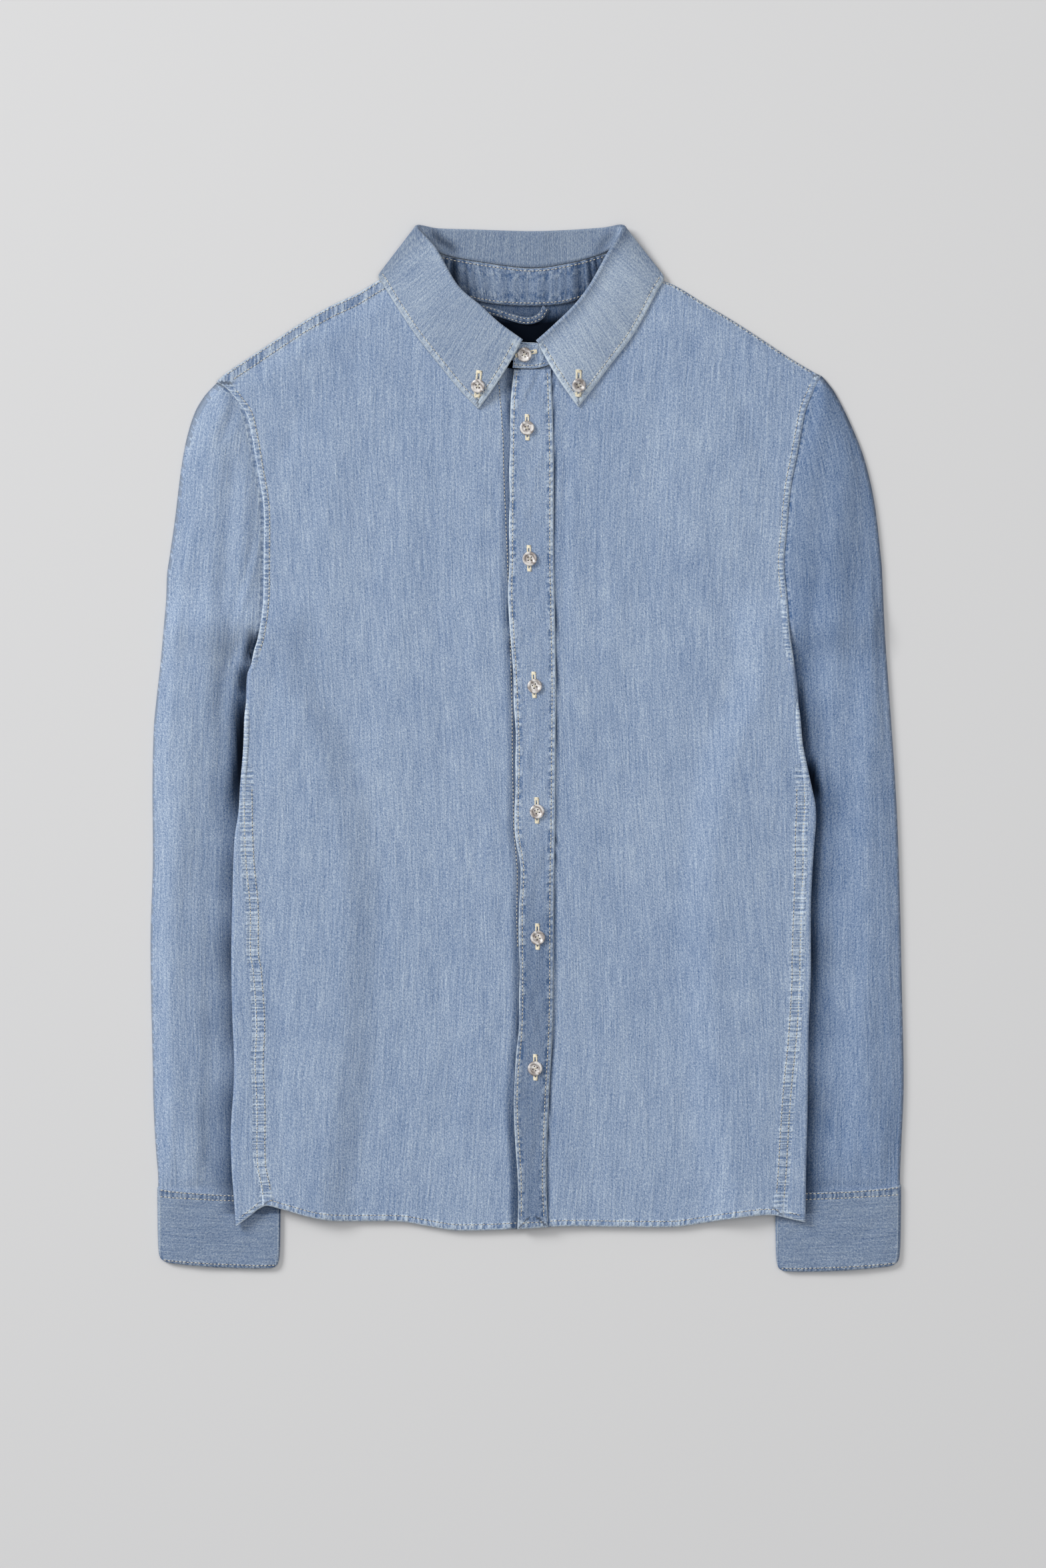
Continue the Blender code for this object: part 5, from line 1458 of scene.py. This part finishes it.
def buttonhole(name, carrier, start, end, width):
    surface = surface_of(carrier)
    start, end = Vector(start), Vector(end)
    way = (end - start).normalized()
    aside = Vector((-way.y, way.x))
    length = (end - start).length
    shape, slit = bmesh.new(), bmesh.new()

    def bar(middle, long, turn=0.0):
        reach = (aside + way * turn) * long / 2
        ends = [drop_onto(surface, *(middle + sign * reach)) for sign in (-1, 1)]
        if all(ends):
            lay_thread(shape, *ends, WORKED_WIDE, WORKED_HIGH)

    for index in range(int(length / LEG_STEP)):
        at = start + way * (index + 0.5) * LEG_STEP
        for sign in (-1, 1):
            slant = 0.25 * math.sin(index * 2.3 + sign)
            bar(at + aside * sign * LEG_ASIDE * width, LEG_LONG * width, slant)
    for place in (start, end):
        for index in range(BAR_STITCHES):
            ragged = 0.4 * math.sin(index * 2.1 + place.x)
            off_middle = (index - (BAR_STITCHES - 1) / 2) * BAR_STEP
            bar(place + way * off_middle, BAR_LONG * width + ragged, 0.06)
    # A near-black strip along the slit: painted shade.
    ends = [drop_onto(surface, *(start.lerp(end, share))) for share in (0.08, 0.92)]
    lay_thread(slit, *ends, 0.5, 0.3, 0.1)
    small_piece(f"buttonhole_{name}", shape, BUTTONHOLE_COTTON)
    small_piece(f"slit_{name}", slit, SHADOW_BLACK)


for row in BUTTONHOLES:
    buttonhole(*row)

# ---------------------------------------------------------------- buttons
# Turned pearly shell buttons: a raised rim round a shallow dish, four thread holes, and cream
# thread through them. The real rims carry engraving, which is left plain.
PROFILE = (
    (0, 1.55), (1.9, 1.55), (2.7, 1.6), (3.1, 1.75), (3.45, 2.05), (3.8, 2.3), (4.3, 2.4), (4.8, 2.33),
    (5.2, 2.05), (5.42, 1.7), (5.5, 1.3), (5.4, 0.85), (5, 0.45), (4, 0.15), (2.6, 0), (0, 0),
)
HOLE, SPREAD = 0.52, 1.2
BUTTON_SIDES, HOLE_SIDES = 48, 16
HOLLOW = 0.9  # the height of the near-black disc painted in each hole for its shade
STRANDS, STRAND_WIDE, STRAND_HIGH = (-0.26, 0.0, 0.26), 0.42, 0.4
REACH, DISH = 0.95, 1.52  # how far the thread reaches to each hole, and the dish's height
POINT_SCALE = 0.97  # the collar points' buttons against the others
CORNERS = ((-1, -1), (-1, 1), (1, -1), (1, 1))
RIM_ANGLE = math.radians(38)  # a sharper edge than this isn't smoothed over


def shell_look():
    """Mother-of-pearl: bands of grey and warm white that slide with the turning of the shell."""
    finish, shader, tree = finish_of(
        "pearl_shell", Specular_IOR_Level=0.6, Coat_Weight=0.5, Coat_Roughness=0.12
    )
    start = Wire(tree)
    place = start.node("ShaderNodeTexCoord", output=3)
    drift = start.node("ShaderNodeTexNoise", {"Vector": place, "Scale": 160.0, "Detail": 2.0})
    bands = start.node("ShaderNodeTexWave", {
        "Vector": place, "Scale": 90.0, "Distortion": 7.0, "Detail": 2.0, "Detail Scale": 1.6,
    }, output=1, bands_direction="DIAGONAL")
    colours = (0.5 * bands + 0.5 * drift).ramp(
        (0.2, dyed(136, 127, 122)), (0.75, dyed(220, 216, 212)), (0.48, dyed(180, 174, 172))
    )
    colours.feeds(shader, "Base Color")
    (0.2 + 0.12 * drift).feeds(shader, "Roughness")
    bands.raises(shader, 0.06 * MM, 0.4)
    return finish


PEARL = shell_look()


def button_body(scale):
    shape = bmesh.new()
    verts = [shape.verts.new(Vector((r * scale, 0, z)) * MM) for r, z in PROFILE]
    edges = [shape.edges.new(pair) for pair in zip(verts, verts[1:])]
    bmesh.ops.spin(
        shape, geom=verts + edges, axis=(0, 0, 1), cent=(0, 0, 0), angle=math.tau,
        steps=BUTTON_SIDES, use_merge=True,
    )
    bmesh.ops.remove_doubles(shape, verts=shape.verts, dist=2 * WELD * MM)
    bmesh.ops.recalc_face_normals(shape, faces=shape.faces)
    return shape


def hole_cutter(scale):
    shape = bmesh.new()
    for dx, dy in CORNERS:
        place = Matrix.Translation(Vector((dx, dy, 0.8)) * SPREAD * scale * MM)
        bmesh.ops.create_cone(
            shape, cap_ends=True, segments=HOLE_SIDES, radius1=HOLE * MM, radius2=HOLE * MM,
            depth=8 * MM, matrix=place,
        )
    return shape


def make_button(node):
    """A button on its solid's own centre and axis."""
    places = np.array([tuple(vert.co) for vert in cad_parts[node].data.vertices]) / MM
    centre = places.min(0) / 2 + places.max(0) / 2
    axis = Vector(np.linalg.svd(places - places.mean(0))[2][2])
    axis = axis if axis.z > 0 else -axis
    low = min(Vector(place - centre).dot(axis) for place in places)
    scale = POINT_SCALE if node.startswith("point") else 1.0
    turn = Vector((0, 0, 1)).rotation_difference(axis).to_matrix().to_4x4()
    spin = Matrix.Rotation(0.5 * math.sin(centre[1]), 4, "Z")
    place = Matrix.Translation((Vector(centre) + axis * low) * MM) @ turn @ spin
    made = []
    for name, shape in ((f"{node}_shell", button_body(scale)), ("holes", hole_cutter(scale))):
        bmesh.ops.transform(shape, matrix=place, verts=shape.verts)
        made.append(small_piece(name, shape, PEARL))
    body, cutter = made
    holes = body.modifiers.new("holes", "BOOLEAN")
    holes.operation = "DIFFERENCE"
    holes.object = cutter
    cut = bpy.data.meshes.new_from_object(body.evaluated_get(bpy.context.evaluated_depsgraph_get()))
    body.modifiers.clear()
    body.data = cut
    cut.set_sharp_from_angle(angle=RIM_ANGLE)
    bpy.data.objects.remove(cutter)
    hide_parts(node)
    thread, hole_shadows = bmesh.new(), bmesh.new()
    for dx, dy in CORNERS:
        spot = place @ Matrix.Translation(Vector((dx * SPREAD, dy * SPREAD, HOLLOW)) * scale * MM)
        bmesh.ops.create_circle(
            hole_shadows, cap_ends=True, segments=HOLE_SIDES, radius=HOLE * MM, matrix=spot
        )
    for dx in (-1, 1):
        for strand in STRANDS:
            ends = [
                place @ (Vector((dx * sign * REACH + strand, sign * REACH - strand, DISH)) * scale * MM)
                for sign in (-1, 1)
            ]
            lay_thread(thread, ends[0] / MM, ends[1] / MM, STRAND_WIDE, STRAND_HIGH)
    small_piece(f"{node}_hollows", hole_shadows, SHADOW_BLACK)
    small_piece(f"{node}_thread", thread, COTTON)


FRONT_BUTTONS = [f"front_button_{index}" for index in range(1, 7)]
for node in (*FRONT_BUTTONS, "stand_button", "point_button_right", "point_button_left"):
    make_button(node)
